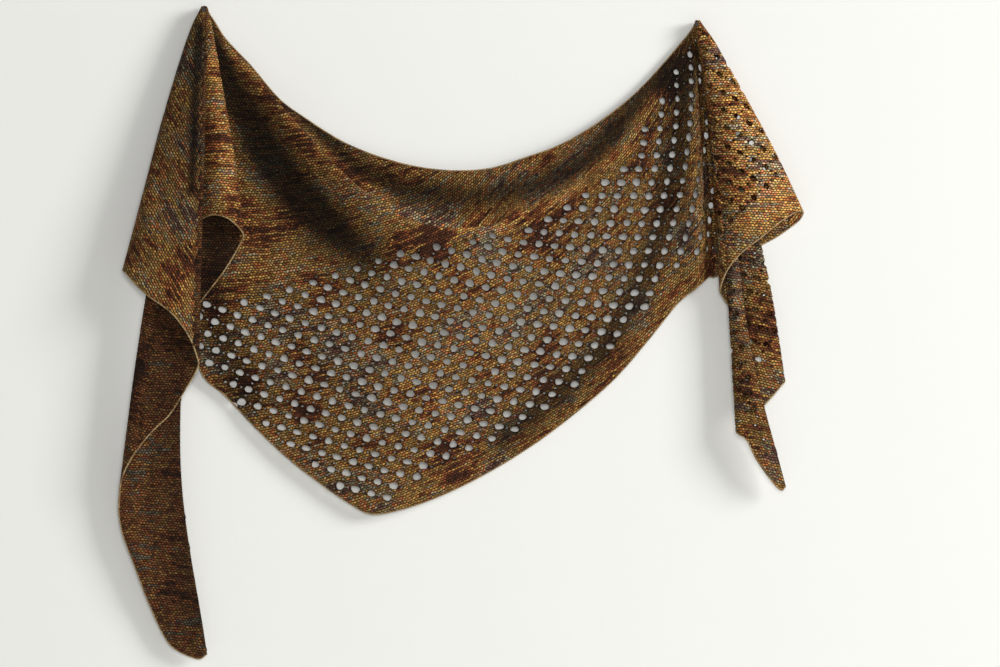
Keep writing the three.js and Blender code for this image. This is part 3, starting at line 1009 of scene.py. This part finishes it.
    def refine(self, net: bmesh.types.BMesh) -> None:
        """Part the edges that bend too much once the cloth is hung.

        Args:
            net: the flat net.
        """
        for _ in range(self.partings):
            verts = list(net.verts)
            net.verts.index_update()
            hung = self.cut.hang([v.co.xy for v in verts])
            edges = [e for e in net.edges if e.calc_length() > self.shortest_edge]
            middles = self.cut.hang([(e.verts[0].co.xy + e.verts[1].co.xy) / 2 for e in edges])
            bent = []
            for edge, middle in zip(edges, middles):
                chord = (hung[edge.verts[0].index] + hung[edge.verts[1].index]) / 2
                if np.linalg.norm(middle - chord) > self.bend_tolerance:
                    bent.append(edge)
            if not bent:
                return
            bmesh.ops.subdivide_edges(net, edges=bent, cuts=1, use_grid_fill=True)

    def knit_place(self, x: float, y: float, stretch: Stretch) -> tuple[float, float]:
        """Return a flat place measured along and across the knitted rows, in metres.

        Args:
            x: flat place along the selvedge, in millimetres.
            y: flat place across the cloth.
            stretch: the stretch that the place is on.

        Returns:
            The place along the rows and the place across them.
        """
        turn = math.radians(stretch.row_turn)
        along = x * math.cos(turn) + y * math.sin(turn)
        across = y * math.cos(turn) - x * math.sin(turn)
        if stretch.pin is None:
            across = self.fan_pitch * (y - self.fan[0] * x - self.fan[1] * x * x / 2)
        return along * MM, across * MM

    def hang(self, net: bmesh.types.BMesh) -> None:
        """Write the places in the knitting to the UV map, put the net on the hung form and write the creases'
        painted shade to it.

        Args:
            net: the flat net.
        """
        knit = net.loops.layers.uv.new("knit")
        column = net.faces.layers.int.new("stretch")
        # the tone attribute carries the painted shade and painted light of the creases
        tone = net.verts.layers.float.new("tone")
        for face in net.faces:
            middle = face.calc_center_median()
            face[column] = self.cut.form.stretch_at(self.cut.hung_place(middle.x, middle.y)[0])
            face.smooth = True
            for loop in face.loops:
                loop[knit].uv = self.knit_place(*loop.vert.co.xy, STRETCHES[face[column]])
        verts = list(net.verts)
        hung = self.cut.hang([v.co.xy for v in verts])
        names = [STRETCHES[vert.link_faces[0][column]].name for vert in verts]
        # painted shade of the creases, for the tone attribute
        painted_shades = press_creases(hung, np.array(names))
        for vert, place, shade in zip(verts, hung, painted_shades):
            vert.co = place * MM
            vert[tone] = shade
        net.normal_update()
        rim = net.verts.layers.float["rim"]
        for vert in verts:
            vert.co -= vert.normal * (self.rim_roll * MM * vert[rim])

    def pieces(self) -> list[bpy.types.Object]:
        """Make the cloth.

        Returns:
            One object for each stretch of it.
        """
        net = self.blank()
        self.trim(net)
        eyelets = self.open_eyelets(net)
        net = self.soften(net)
        self.round_edges(net, eyelets)
        self.refine(net)
        self.hang(net)
        LOG.info("cloth: %d eyelets, %d faces", len(eyelets), len(net.faces))
        column = net.faces.layers.int["stretch"]
        result = []
        for n, stretch in enumerate(STRETCHES):
            part = net.copy()
            part.faces.ensure_lookup_table()
            others = [face for face in part.faces if face[part.faces.layers.int["stretch"]] != n]
            bmesh.ops.delete(part, geom=others, context="FACES")
            mesh = bpy.data.meshes.new(stretch.name + "_knit")
            part.to_mesh(mesh)
            part.free()
            piece = new_object(stretch.name + "_knit", mesh)
            wall = piece.modifiers.new("wall", "SOLIDIFY")
            wall.thickness = CLOTH_THICKNESS * MM
            wall.offset = 0.0
            result.append(piece)
        net.free()
        return result


@dataclass(frozen=True)
class BoundOffEdge:
    """The cord of bound-off stitches along an edge of the cloth.

    Attributes:
        form: the hung form.
        radius: its half thickness, in millimetres.
        stitch: length of a bound-off stitch, in millimetres.
        swell: how much the cord swells in each stitch, as a share.
        parts: points for each stitch.
    """

    form: HungForm
    radius: float = 1.0
    stitch: float = 4.2
    swell: float = 0.22
    parts: int = 3

    def line(self, stretch: int, row: int) -> np.ndarray:
        """Return evenly spaced points along the edge of a stretch.

        Args:
            stretch: the number of the stretch.
            row: the row of the grid that is its edge.

        Returns:
            The points, in millimetres.
        """
        edge = self.form.grid[self.form.columns(stretch), row]
        reach = np.concatenate([[0.0], np.cumsum(np.linalg.norm(np.diff(edge, axis=0), axis=1))])
        places = np.arange(0, reach[-1], self.stitch / self.parts)
        points = np.stack([np.interp(places, reach, edge[:, axis]) for axis in range(3)], axis=1)
        press_creases(points, np.full(len(points), STRETCHES[stretch].name))
        return points

    def make(self, name: str, stretch: int, row: int) -> bpy.types.Object:
        """Make the cord.

        Args:
            name: its name.
            stretch: the number of the stretch.
            row: the row of the grid that is its edge.

        Returns:
            The cord as a mesh object.
        """
        points = self.line(stretch, row)
        curve = bpy.data.curves.new(name, "CURVE")
        curve.dimensions = "3D"
        curve.bevel_depth = self.radius * MM
        curve.bevel_resolution = 1
        curve.use_fill_caps = True
        spline = curve.splines.new("POLY")
        spline.points.add(len(points) - 1)
        for k, (knot, point) in enumerate(zip(spline.points, points)):
            knot.co = (*(point * MM), 1.0)
            knot.radius = 1 + self.swell * math.cos(math.tau * k / self.parts)
        holder = new_object(name, curve)
        mesh = finished_mesh(holder)
        bpy.data.objects.remove(holder)
        bpy.data.curves.remove(curve)
        mesh.name = name
        mesh.shade_smooth()
        return new_object(name, mesh)


def linear(hex_colour: str) -> tuple[float, float, float, float]:
    """Turn an sRGB hex colour to the linear one that a shader takes."""
    parts = [int(hex_colour[k:k + 2], 16) / 255 for k in (0, 2, 4)]
    return (*[c / 12.92 if c <= 0.04045 else ((c + 0.055) / 1.055) ** 2.4 for c in parts], 1.0)


def add_node(
    tree: bpy.types.NodeTree, kind: str, settings: dict, *inputs: object, **links: object
) -> bpy.types.Node:
    """Add a node to a material.

    Args:
        tree: the material's node tree.
        kind: the node's type, without its "ShaderNode".
        settings: the node's own properties.
        inputs: what its first inputs get, in their order.
        links: what other inputs get, by their names with "_" for a space. As for inputs, each is a value,
            a socket, or a node whose first output is meant.

    Returns:
        The new node.
    """
    node = tree.nodes.new("ShaderNode" + kind)
    for name, value in settings.items():
        setattr(node, name, value)
    wanted = [(node.inputs[k], value) for k, value in enumerate(inputs)]
    wanted += [(node.inputs[name.replace("_", " ")], value) for name, value in links.items()]
    for socket, value in wanted:
        if isinstance(value, bpy.types.Node):
            value = value.outputs[0]
        if isinstance(value, bpy.types.NodeSocket):
            tree.links.new(value, socket)
        else:
            socket.default_value = value
    return node


def empty_material(name: str) -> bpy.types.Material:
    """Return a new material without any nodes."""
    material = bpy.data.materials.new(name)
    material.use_nodes = True
    material.node_tree.nodes.clear()
    return material


def set_stops(ramp: bpy.types.ColorRamp, stops: tuple) -> None:
    """Give a colour ramp its stops.

    Args:
        ramp: the ramp.
        stops: place and sRGB hex colour of each stop, from the lowest on.
    """
    ramp.elements.remove(ramp.elements[1])
    ramp.elements[0].position = stops[0][0]
    ramp.elements[0].color = linear(stops[0][1])
    for position, colour in stops[1:]:
        ramp.elements.new(position).color = linear(colour)


# Settings of the nodes that work with numbers and of the noise that lies on the flat cloth
ADD, SUBTRACT, MULTIPLY, DIVIDE, SCALE, POWER, FLOOR, MULTIPLY_ADD = (
    {"operation": name}
    for name in ("ADD", "SUBTRACT", "MULTIPLY", "DIVIDE", "SCALE", "POWER", "FLOOR", "MULTIPLY_ADD")
)
ON_CLOTH = {"noise_dimensions": "2D"}


@dataclass(frozen=True)
class HandDyedKnit:
    """Garter knit of a hand-dyed yarn.

    The yarn changes colour every few centimetres along each row, and no two rows match. Its bumps lie
    in rows with painted shade in the gaps between them and painted light on their crowns, so the cloth
    looks pebbled and matt.

    Attributes:
        name: the material's name.
        dyes: place and colour of each dye along the skein.
        shade: how much the colours are darkened, as painted shade on the stretches that lie deep.
        stitch: width of a stitch, in millimetres.
        ridge: height of a garter ridge, in millimetres.
        skein: length of yarn between two colours, as it lies in a row, in millimetres.
        wobble: how far the stitches stray from straight rows, in millimetres.
        wobbles: how often they stray in a metre, once in 9 mm.
        gaps: height of a gap and of a crown between the stitches, and the share of the colour that each
        gives back, as painted shade in the gap and painted light on the crown.
        specks: how much the light differs from stitch to stitch, and its least share.
        rolled: how much painted shade darkens the rolled edge of an eyelet, as a share.
        bumps: how much the stitches differ in roundness, their least roundness, and how much flatter they
            are along the row.
        row_drift: how far the colours shift from one row to the next, as a share of a colour.
        pools: how many patches the dye makes in a metre, 62 mm each.
        dye_shares: how much the place along the skein, the patches and the single stitch say in the colour,
            and what is taken off their sum.
        fibres: fibres in a metre and their height as a share of the relief. They are drawn 0.7 mm wide,
            which is coarser than real ones, so that they show.
        relief: how high the stitches stand, in millimetres.
    """

    name: str
    dyes: tuple
    shade: float = 1.0
    stitch: float = 3.6
    ridge: float = 2.6
    skein: float = 42.0
    wobble: float = 3.0
    wobbles: float = 110.0
    gaps: tuple = (0.12, 0.85, 0.07, 1.62)
    specks: tuple = (1.15, 0.4)
    rolled: float = 0.45
    bumps: tuple = (0.9, 2.8, 0.8)
    row_drift: float = 0.42
    pools: float = 16.0
    dye_shares: tuple = (0.95, 0.8, 0.1, 0.425)
    fibres: tuple = (1400.0, 0.2)
    relief: float = 1.5

    def make(self) -> bpy.types.Material:
        """Build the material.

        Returns:
            The material.
        """
        material = empty_material(self.name)
        tree = material.node_tree
        flat = add_node(tree, "UVMap", {"uv_map": "knit"}).outputs["UV"]
        place, row = self.lay_rows(tree, flat)
        chance, swell = self.raise_stitches(tree, place, row)
        specks = add_node(tree, "SeparateXYZ", {}, chance)
        colour = self.dye(tree, flat, place, row, specks.outputs["Y"])
        light = self.give_back_light(tree, swell, specks.outputs["X"])
        shaded = add_node(tree, "VectorMath", SCALE, colour, Scale=light)
        fibre = add_node(tree, "TexNoise", ON_CLOTH, Vector=flat, Scale=self.fibres[0], Detail=2.0)
        height = add_node(tree, "Math", MULTIPLY_ADD, fibre.outputs["Fac"], self.fibres[1], swell)
        bump = add_node(tree, "Bump", {}, Strength=1.0, Distance=self.relief * MM, Height=height)
        # wool is rough, with hardly any gloss and a faint warm sheen
        yarn = add_node(tree, "BsdfPrincipled", {}, Base_Color=shaded, Roughness=0.85, Normal=bump,
                        Sheen_Weight=0.06, Sheen_Roughness=0.5, Sheen_Tint=linear("c8a070"),
                        Specular_IOR_Level=0.15)
        add_node(tree, "OutputMaterial", {}, yarn)
        return material

    def lay_rows(self, tree: bpy.types.NodeTree, flat: bpy.types.NodeSocket) -> tuple:
        """Measure the cloth in stitches and ridges.

        Args:
            tree: the material's node tree.
            flat: the place in the knitting, in metres.

        Returns:
            The place in stitches and ridges, split in its parts, and the number of the row.
        """
        stray = add_node(tree, "TexNoise", ON_CLOTH, Vector=flat, Scale=self.wobbles, Detail=1.0)
        centred = add_node(tree, "VectorMath", SUBTRACT, stray.outputs["Color"], (0.5, 0.5, 0.5))
        shift = add_node(tree, "VectorMath", SCALE, centred, Scale=self.wobble * MM)
        moved = add_node(tree, "VectorMath", ADD, flat, shift)
        counted = add_node(tree, "VectorMath", DIVIDE, moved, (self.stitch * MM, self.ridge * MM, 1.0))
        place = add_node(tree, "SeparateXYZ", {}, counted)
        return place, add_node(tree, "Math", FLOOR, place.outputs["Y"])

    def raise_stitches(self, tree: bpy.types.NodeTree, place: bpy.types.Node, row: bpy.types.Node) -> tuple:
        """Draw one bump for each stitch, half a stitch further in each ridge.

        Args:
            tree: the material's node tree.
            place: the place in stitches and ridges, split in its parts.
            row: the number of the row.

        Returns:
            A random colour for each stitch, and the height of the bumps.
        """
        along = add_node(tree, "Math", MULTIPLY_ADD, row, 0.5, place.outputs["X"])
        stitch = add_node(tree, "Math", FLOOR, along)
        cell = add_node(tree, "CombineXYZ", {}, stitch, row)
        chance = add_node(tree, "TexWhiteNoise", ON_CLOTH, Vector=cell)
        squares = []
        for whole, measured in ((stitch, along), (row, place.outputs["Y"])):
            past = add_node(tree, "Math", SUBTRACT, measured, whole)
            aside = add_node(tree, "Math", SUBTRACT, past, 0.5)
            squares.append(add_node(tree, "Math", MULTIPLY, aside, aside))
        differing, least, flatter = self.bumps
        flattened = add_node(tree, "Math", MULTIPLY, squares[0], flatter)
        spread = add_node(tree, "Math", ADD, flattened, squares[1])
        roundness = add_node(tree, "Math", MULTIPLY_ADD, chance.outputs["Value"], differing, least)
        fall = add_node(tree, "Math", MULTIPLY, spread, roundness)
        return chance.outputs["Color"], add_node(tree, "Math", SUBTRACT, 1.0, fall)

    def dye(
        self, tree: bpy.types.NodeTree, flat: bpy.types.NodeSocket, place: bpy.types.Node,
        row: bpy.types.Node, speck: bpy.types.NodeSocket
    ) -> bpy.types.NodeSocket:
        """Colour the yarn, which starts elsewhere in the skein in each row.

        Args:
            tree: the material's node tree.
            flat: the place in the knitting, in metres.
            place: the place in stitches and ridges, split in its parts.
            row: the number of the row.
            speck: a random number for each stitch.

        Returns:
            The colour.
        """
        of_skein, of_pools, of_stitch, taken_off = self.dye_shares
        start = add_node(tree, "TexWhiteNoise", {"noise_dimensions": "1D"}, W=row).outputs["Value"]
        along = add_node(tree, "Math", MULTIPLY_ADD, place.outputs["X"], self.stitch / self.skein, start)
        drift = add_node(tree, "Math", MULTIPLY, row, self.row_drift)
        skein = add_node(tree, "CombineXYZ", {}, along, drift)
        change = add_node(tree, "TexNoise", ON_CLOTH, Vector=skein, Scale=1.0, Detail=3.0, Roughness=0.6)
        pool = add_node(tree, "TexNoise", ON_CLOTH, Vector=flat, Scale=self.pools, Detail=1.0)
        pooled = add_node(tree, "Math", MULTIPLY, pool.outputs["Fac"], of_pools)
        mixed = add_node(tree, "Math", MULTIPLY_ADD, change.outputs["Fac"], of_skein, pooled)
        spread = add_node(tree, "Math", MULTIPLY_ADD, speck, of_stitch, mixed)
        ramp = add_node(tree, "ValToRGB", {}, add_node(tree, "Math", SUBTRACT, spread, taken_off))
        set_stops(ramp.color_ramp, self.dyes)
        return ramp.outputs["Color"]

    def give_back_light(
        self, tree: bpy.types.NodeTree, swell: bpy.types.Node, speck: bpy.types.NodeSocket
    ) -> bpy.types.Node:
        """Work out how light each place is.

        The gaps between the bumps get painted shade and their crowns painted light, and the rolled edge of an
        eyelet gets painted shade too. The tone of the creases is painted shade and painted light, which
        darkens or brightens the yarn in place of light and shade that the form doesn't give.

        Args:
            tree: the material's node tree.
            swell: the height of the bumps.
            speck: a random number for each stitch.

        Returns:
            The painted light and shade, as a share of the colour.
        """
        gap, crown, dark, bright = self.gaps
        # painted shade in the gaps between the stitches and painted light on their crowns
        depth = add_node(tree, "MapRange", {}, swell, From_Min=gap, From_Max=crown,
                         To_Min=dark * self.shade, To_Max=bright * self.shade)
        varied = add_node(tree, "Math", MULTIPLY_ADD, speck, *self.specks)
        # painted shade on the rolled edge of each eyelet
        rim = add_node(tree, "Attribute", {"attribute_name": "rim"}).outputs["Fac"]
        turned = add_node(tree, "Math", POWER, rim, 2.0)
        rolled = add_node(tree, "Math", SUBTRACT, 1.0, add_node(tree, "Math", MULTIPLY, turned, self.rolled))
        # the creases' painted shade and painted light
        tone = add_node(tree, "Attribute", {"attribute_name": "tone"}).outputs["Fac"]
        light = add_node(tree, "Math", SUBTRACT, 1.0, tone)
        for share in (depth, varied, rolled):
            light = add_node(tree, "Math", MULTIPLY, light, share)
        return light


@dataclass(frozen=True)
class BlackenedSteel:
    """Blackened steel of a wall pin: dark, smooth from drawing, with a dull highlight.

    Attributes:
        name: the material's name.
        wear: marks of wear in a metre, 1.1 mm each.
        polish: roughness of its smoothest and its most worn places.
    """

    name: str = "blackened_steel"
    wear: float = 900.0
    polish: tuple = (0.3, 0.55)

    def make(self) -> bpy.types.Material:
        """Build the material.

        Returns:
            The material.
        """
        material = empty_material(self.name)
        tree = material.node_tree
        place = add_node(tree, "TexCoord", {}).outputs["Object"]
        wear = add_node(tree, "TexNoise", {}, Vector=place, Scale=self.wear, Detail=3.0).outputs["Fac"]
        rough = add_node(tree, "MapRange", {}, wear, To_Min=self.polish[0], To_Max=self.polish[1])
        steel = add_node(tree, "BsdfPrincipled", {}, Base_Color=linear("1b1917"), Metallic=0.6,
                         Roughness=rough)
        add_node(tree, "OutputMaterial", {}, steel)
        return material


@dataclass(frozen=True)
class BoundOffYarn:
    """The same yarn in the bound-off edge, paler than the knitting, as the photo shows it.

    Attributes:
        name: the material's name.
        tints: place and colour of the tints that it changes between.
        changes: how often it changes in a metre, once in 17 mm.
    """

    name: str = "bound_off_yarn"
    tints: tuple = ((0.35, "6b5233"), (0.5, "a58c63"), (0.65, "86693f"))
    changes: float = 60.0

    def make(self) -> bpy.types.Material:
        """Build the material.

        Returns:
            The material.
        """
        material = empty_material(self.name)
        tree = material.node_tree
        place = add_node(tree, "TexCoord", {}).outputs["Object"]
        change = add_node(tree, "TexNoise", {}, Vector=place, Scale=self.changes, Detail=3.0)
        ramp = add_node(tree, "ValToRGB", {}, change.outputs["Fac"])
        set_stops(ramp.color_ramp, self.tints)
        yarn = add_node(tree, "BsdfPrincipled", {}, Base_Color=ramp.outputs["Color"], Roughness=0.85)
        add_node(tree, "OutputMaterial", {}, yarn)
        return material


FACE_DYES = (
    (0.27, "432517"), (0.34, "6a381f"), (0.40, "805028"), (0.45, "97743a"), (0.50, "7a5530"),
    (0.55, "857243"), (0.60, "8c4a26"), (0.66, "7b745a"), (0.74, "543a30"),
)
# Darker dyes for the stretches that lie deep; the knit that uses them is also darkened as painted shade
DEEP_DYES = (
    (0.27, "2e1a10"), (0.36, "522b1a"), (0.44, "6a4020"), (0.51, "5c3a24"), (0.58, "72552c"),
    (0.64, "66311b"), (0.72, "534a3b"),
)


@dataclass
class Shawl:
    """The knitted cloth, a piece for each stretch.

    Attributes:
        form: the hung form.
        cut: the same cloth laid flat.
    """

    form: HungForm = field(default_factory=HungForm)
    cut: FlatCut = field(init=False)

    def __post_init__(self) -> None:
        """Lay the form flat."""
        self.cut = FlatCut(self.form)

    def build(self) -> None:
        """Make the pieces and their edge cords, dress them, and hide the CAD parts that they stand for."""
        yarns = {
            Tone.FACE: HandDyedKnit("hand_dyed_knit", FACE_DYES).make(),
            # the deep stretches get darker dyes and painted shade
            Tone.DEEP: HandDyedKnit("hand_dyed_knit_deep", DEEP_DYES, shade=0.76).make(),
        }
        edge = BoundOffEdge(self.form)
        edge_yarn = BoundOffYarn().make()
        hem = self.form.grid.shape[1] - 1
        for n, (stretch, piece) in enumerate(zip(STRETCHES, KnitCloth(self.cut).pieces())):
            piece.data.materials.append(yarns[stretch.tone])
            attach(piece, "root")
            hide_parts(stretch.name)
            cords = [edge.make(stretch.name + "_bound_off_edge", n, hem)]
            if stretch.pin is None:
                cords.append(edge.make(stretch.name + "_selvedge", n, 0))
            for cord in cords:
                cord.data.materials.append(edge_yarn)
                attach(cord, "root")
            self.declare(stretch)
            LOG.info("%s: %d faces", piece.name, len(piece.data.polygons))

    def declare(self, stretch: Stretch) -> None:
        """Work out the flat size and the run of a stretch as cut; nothing is done with them.

        Args:
            stretch: the stretch.
        """
        flat = self.cut.flat[self.form.columns(STRETCHES.index(stretch))] * MM
        ray = flat[:, -1].mean(axis=0) - flat[:, 0].mean(axis=0)
        ray /= np.linalg.norm(ray)


@dataclass
class Studio:
    """The wall, the floor, the light and the camera, in metres.

    Attributes:
        middle: x and z of the middle of the picture.
        picture_width: width of the picture at the cloth.
        cloth_depth: how far the cloth stands out from the wall on the whole.
        distance: how far the camera stands from the cloth.
        sensor: width of the camera's sensor, in millimetres.
        wall: place of the wall's middle, its half width and half height, and its paint.
        floor: the same for the floor.
        window: place, size and power of the light from the right.
        room: the same for the light from the front.
        aim: the point that both lights face.
        sky: colour and strength of the light from all sides.
    """

    middle: tuple = (0.3256, -0.3559)
    picture_width: float = 1.1
    cloth_depth: float = 0.02
    distance: float = 6.0
    sensor: float = 36.0
    wall: tuple = ((0.33, 0.0005, -0.2), (2.2, 1.05), "f3f3ef")
    floor: tuple = ((0.33, -1.0, -1.25), (3.0, 3.0), "d4d3cf")
    window: tuple = ((5.2, -3.0, 1.5), 2.4, 275.0)
    room: tuple = ((0.5, -6.5, 0.1), 1.2, 155.0)
    aim: tuple = (0.33, 0.0, -0.3)
    sky: tuple = ("f4f5f2", 0.13)

    def build(self) -> None:
        """Make the studio."""
        self.add_plane("wall", *self.wall, upright=True)
        self.add_plane("floor", *self.floor, upright=False)
        self.add_light("window", *self.window)
        self.add_light("room", *self.room)
        self.add_camera()
        world = bpy.data.worlds.new("studio")
        world.use_nodes = True
        background = world.node_tree.nodes["Background"]
        background.inputs["Color"].default_value = linear(self.sky[0])
        background.inputs["Strength"].default_value = self.sky[1]
        bpy.context.scene.world = world
        bpy.context.scene.view_settings.view_transform = "Standard"
        LOG.info("studio: wall, floor, light and camera")

    def add_plane(self, name: str, place: tuple, size: tuple, colour: str, upright: bool) -> None:
        """Add a plain painted backdrop.

        Args:
            name: its name.
            place: its middle.
            size: its half width and half height.
            colour: its colour as sRGB hex.
            upright: whether it stands as a wall, which is see-through from behind.
        """
        turn = Matrix.Rotation(math.radians(90), 4, "X") if upright else Matrix.Identity(4)
        sheet = bmesh.new()
        bmesh.ops.create_grid(sheet, x_segments=1, y_segments=1, size=1.0)
        placed = Matrix.Translation(place) @ turn @ Matrix.Diagonal((*size, 1, 1))
        bmesh.ops.transform(sheet, matrix=placed, verts=sheet.verts)
        mesh = bpy.data.meshes.new(name)
        sheet.to_mesh(mesh)
        sheet.free()
        material = bpy.data.materials.new(name + "_paint")
        material.use_nodes = True
        tree = material.node_tree
        paint = tree.nodes["Principled BSDF"]
        paint.inputs["Base Color"].default_value = linear(colour)
        paint.inputs["Roughness"].default_value = 0.9
        if upright:
            clear = add_node(tree, "BsdfTransparent", {})
            behind = add_node(tree, "NewGeometry", {}).outputs["Backfacing"]
            mix = add_node(tree, "MixShader", {}, behind, paint, clear)
            tree.links.new(mix.outputs[0], tree.nodes["Material Output"].inputs["Surface"])
        mesh.materials.append(material)
        backdrop = new_object(name, mesh)

    def add_light(self, name: str, place: tuple, size: float, power: float) -> None:
        """Add a soft square light that points at the middle of the shawl.

        Args:
            name: its name.
            place: where it stands.
            size: the length of its sides.
            power: its power, in watts.
        """
        light = bpy.data.lights.new(name, "AREA")
        light.size = size
        light.energy = power
        lamp = new_object(name, light)
        lamp.location = place
        lamp.rotation_euler = (Vector(self.aim) - Vector(place)).to_track_quat("-Z", "Y").to_euler()

    def add_camera(self) -> None:
        """Add the camera straight in front of the wall."""
        lens = bpy.data.cameras.new("camera")
        lens.sensor_width = self.sensor
        lens.lens = self.sensor * self.distance / self.picture_width
        camera = new_object("camera", lens)
        camera.location = (self.middle[0], -self.distance - self.cloth_depth, self.middle[1])
        camera.rotation_euler = (math.radians(90), 0, 0)
        bpy.context.scene.camera = camera


@dataclass
class WallPins:
    """The two wall pins, kept as the frame has them."""

    names: tuple = ("left_wall_pin", "right_wall_pin")

    def build(self) -> None:
        """Dress the pins."""
        steel = BlackenedSteel().make()
        for name in self.names:
            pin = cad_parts[name]
            pin.data.materials.clear()
            pin.data.materials.append(steel)
            LOG.info("%s: dressed", name)


def main() -> None:
    """Build the studio, the shawl and its pins."""
    logging.basicConfig(level=logging.INFO, format="%(name)s %(message)s")
    Studio().build()
    Shawl().build()
    WallPins().build()


if __name__ == "__main__":
    main()
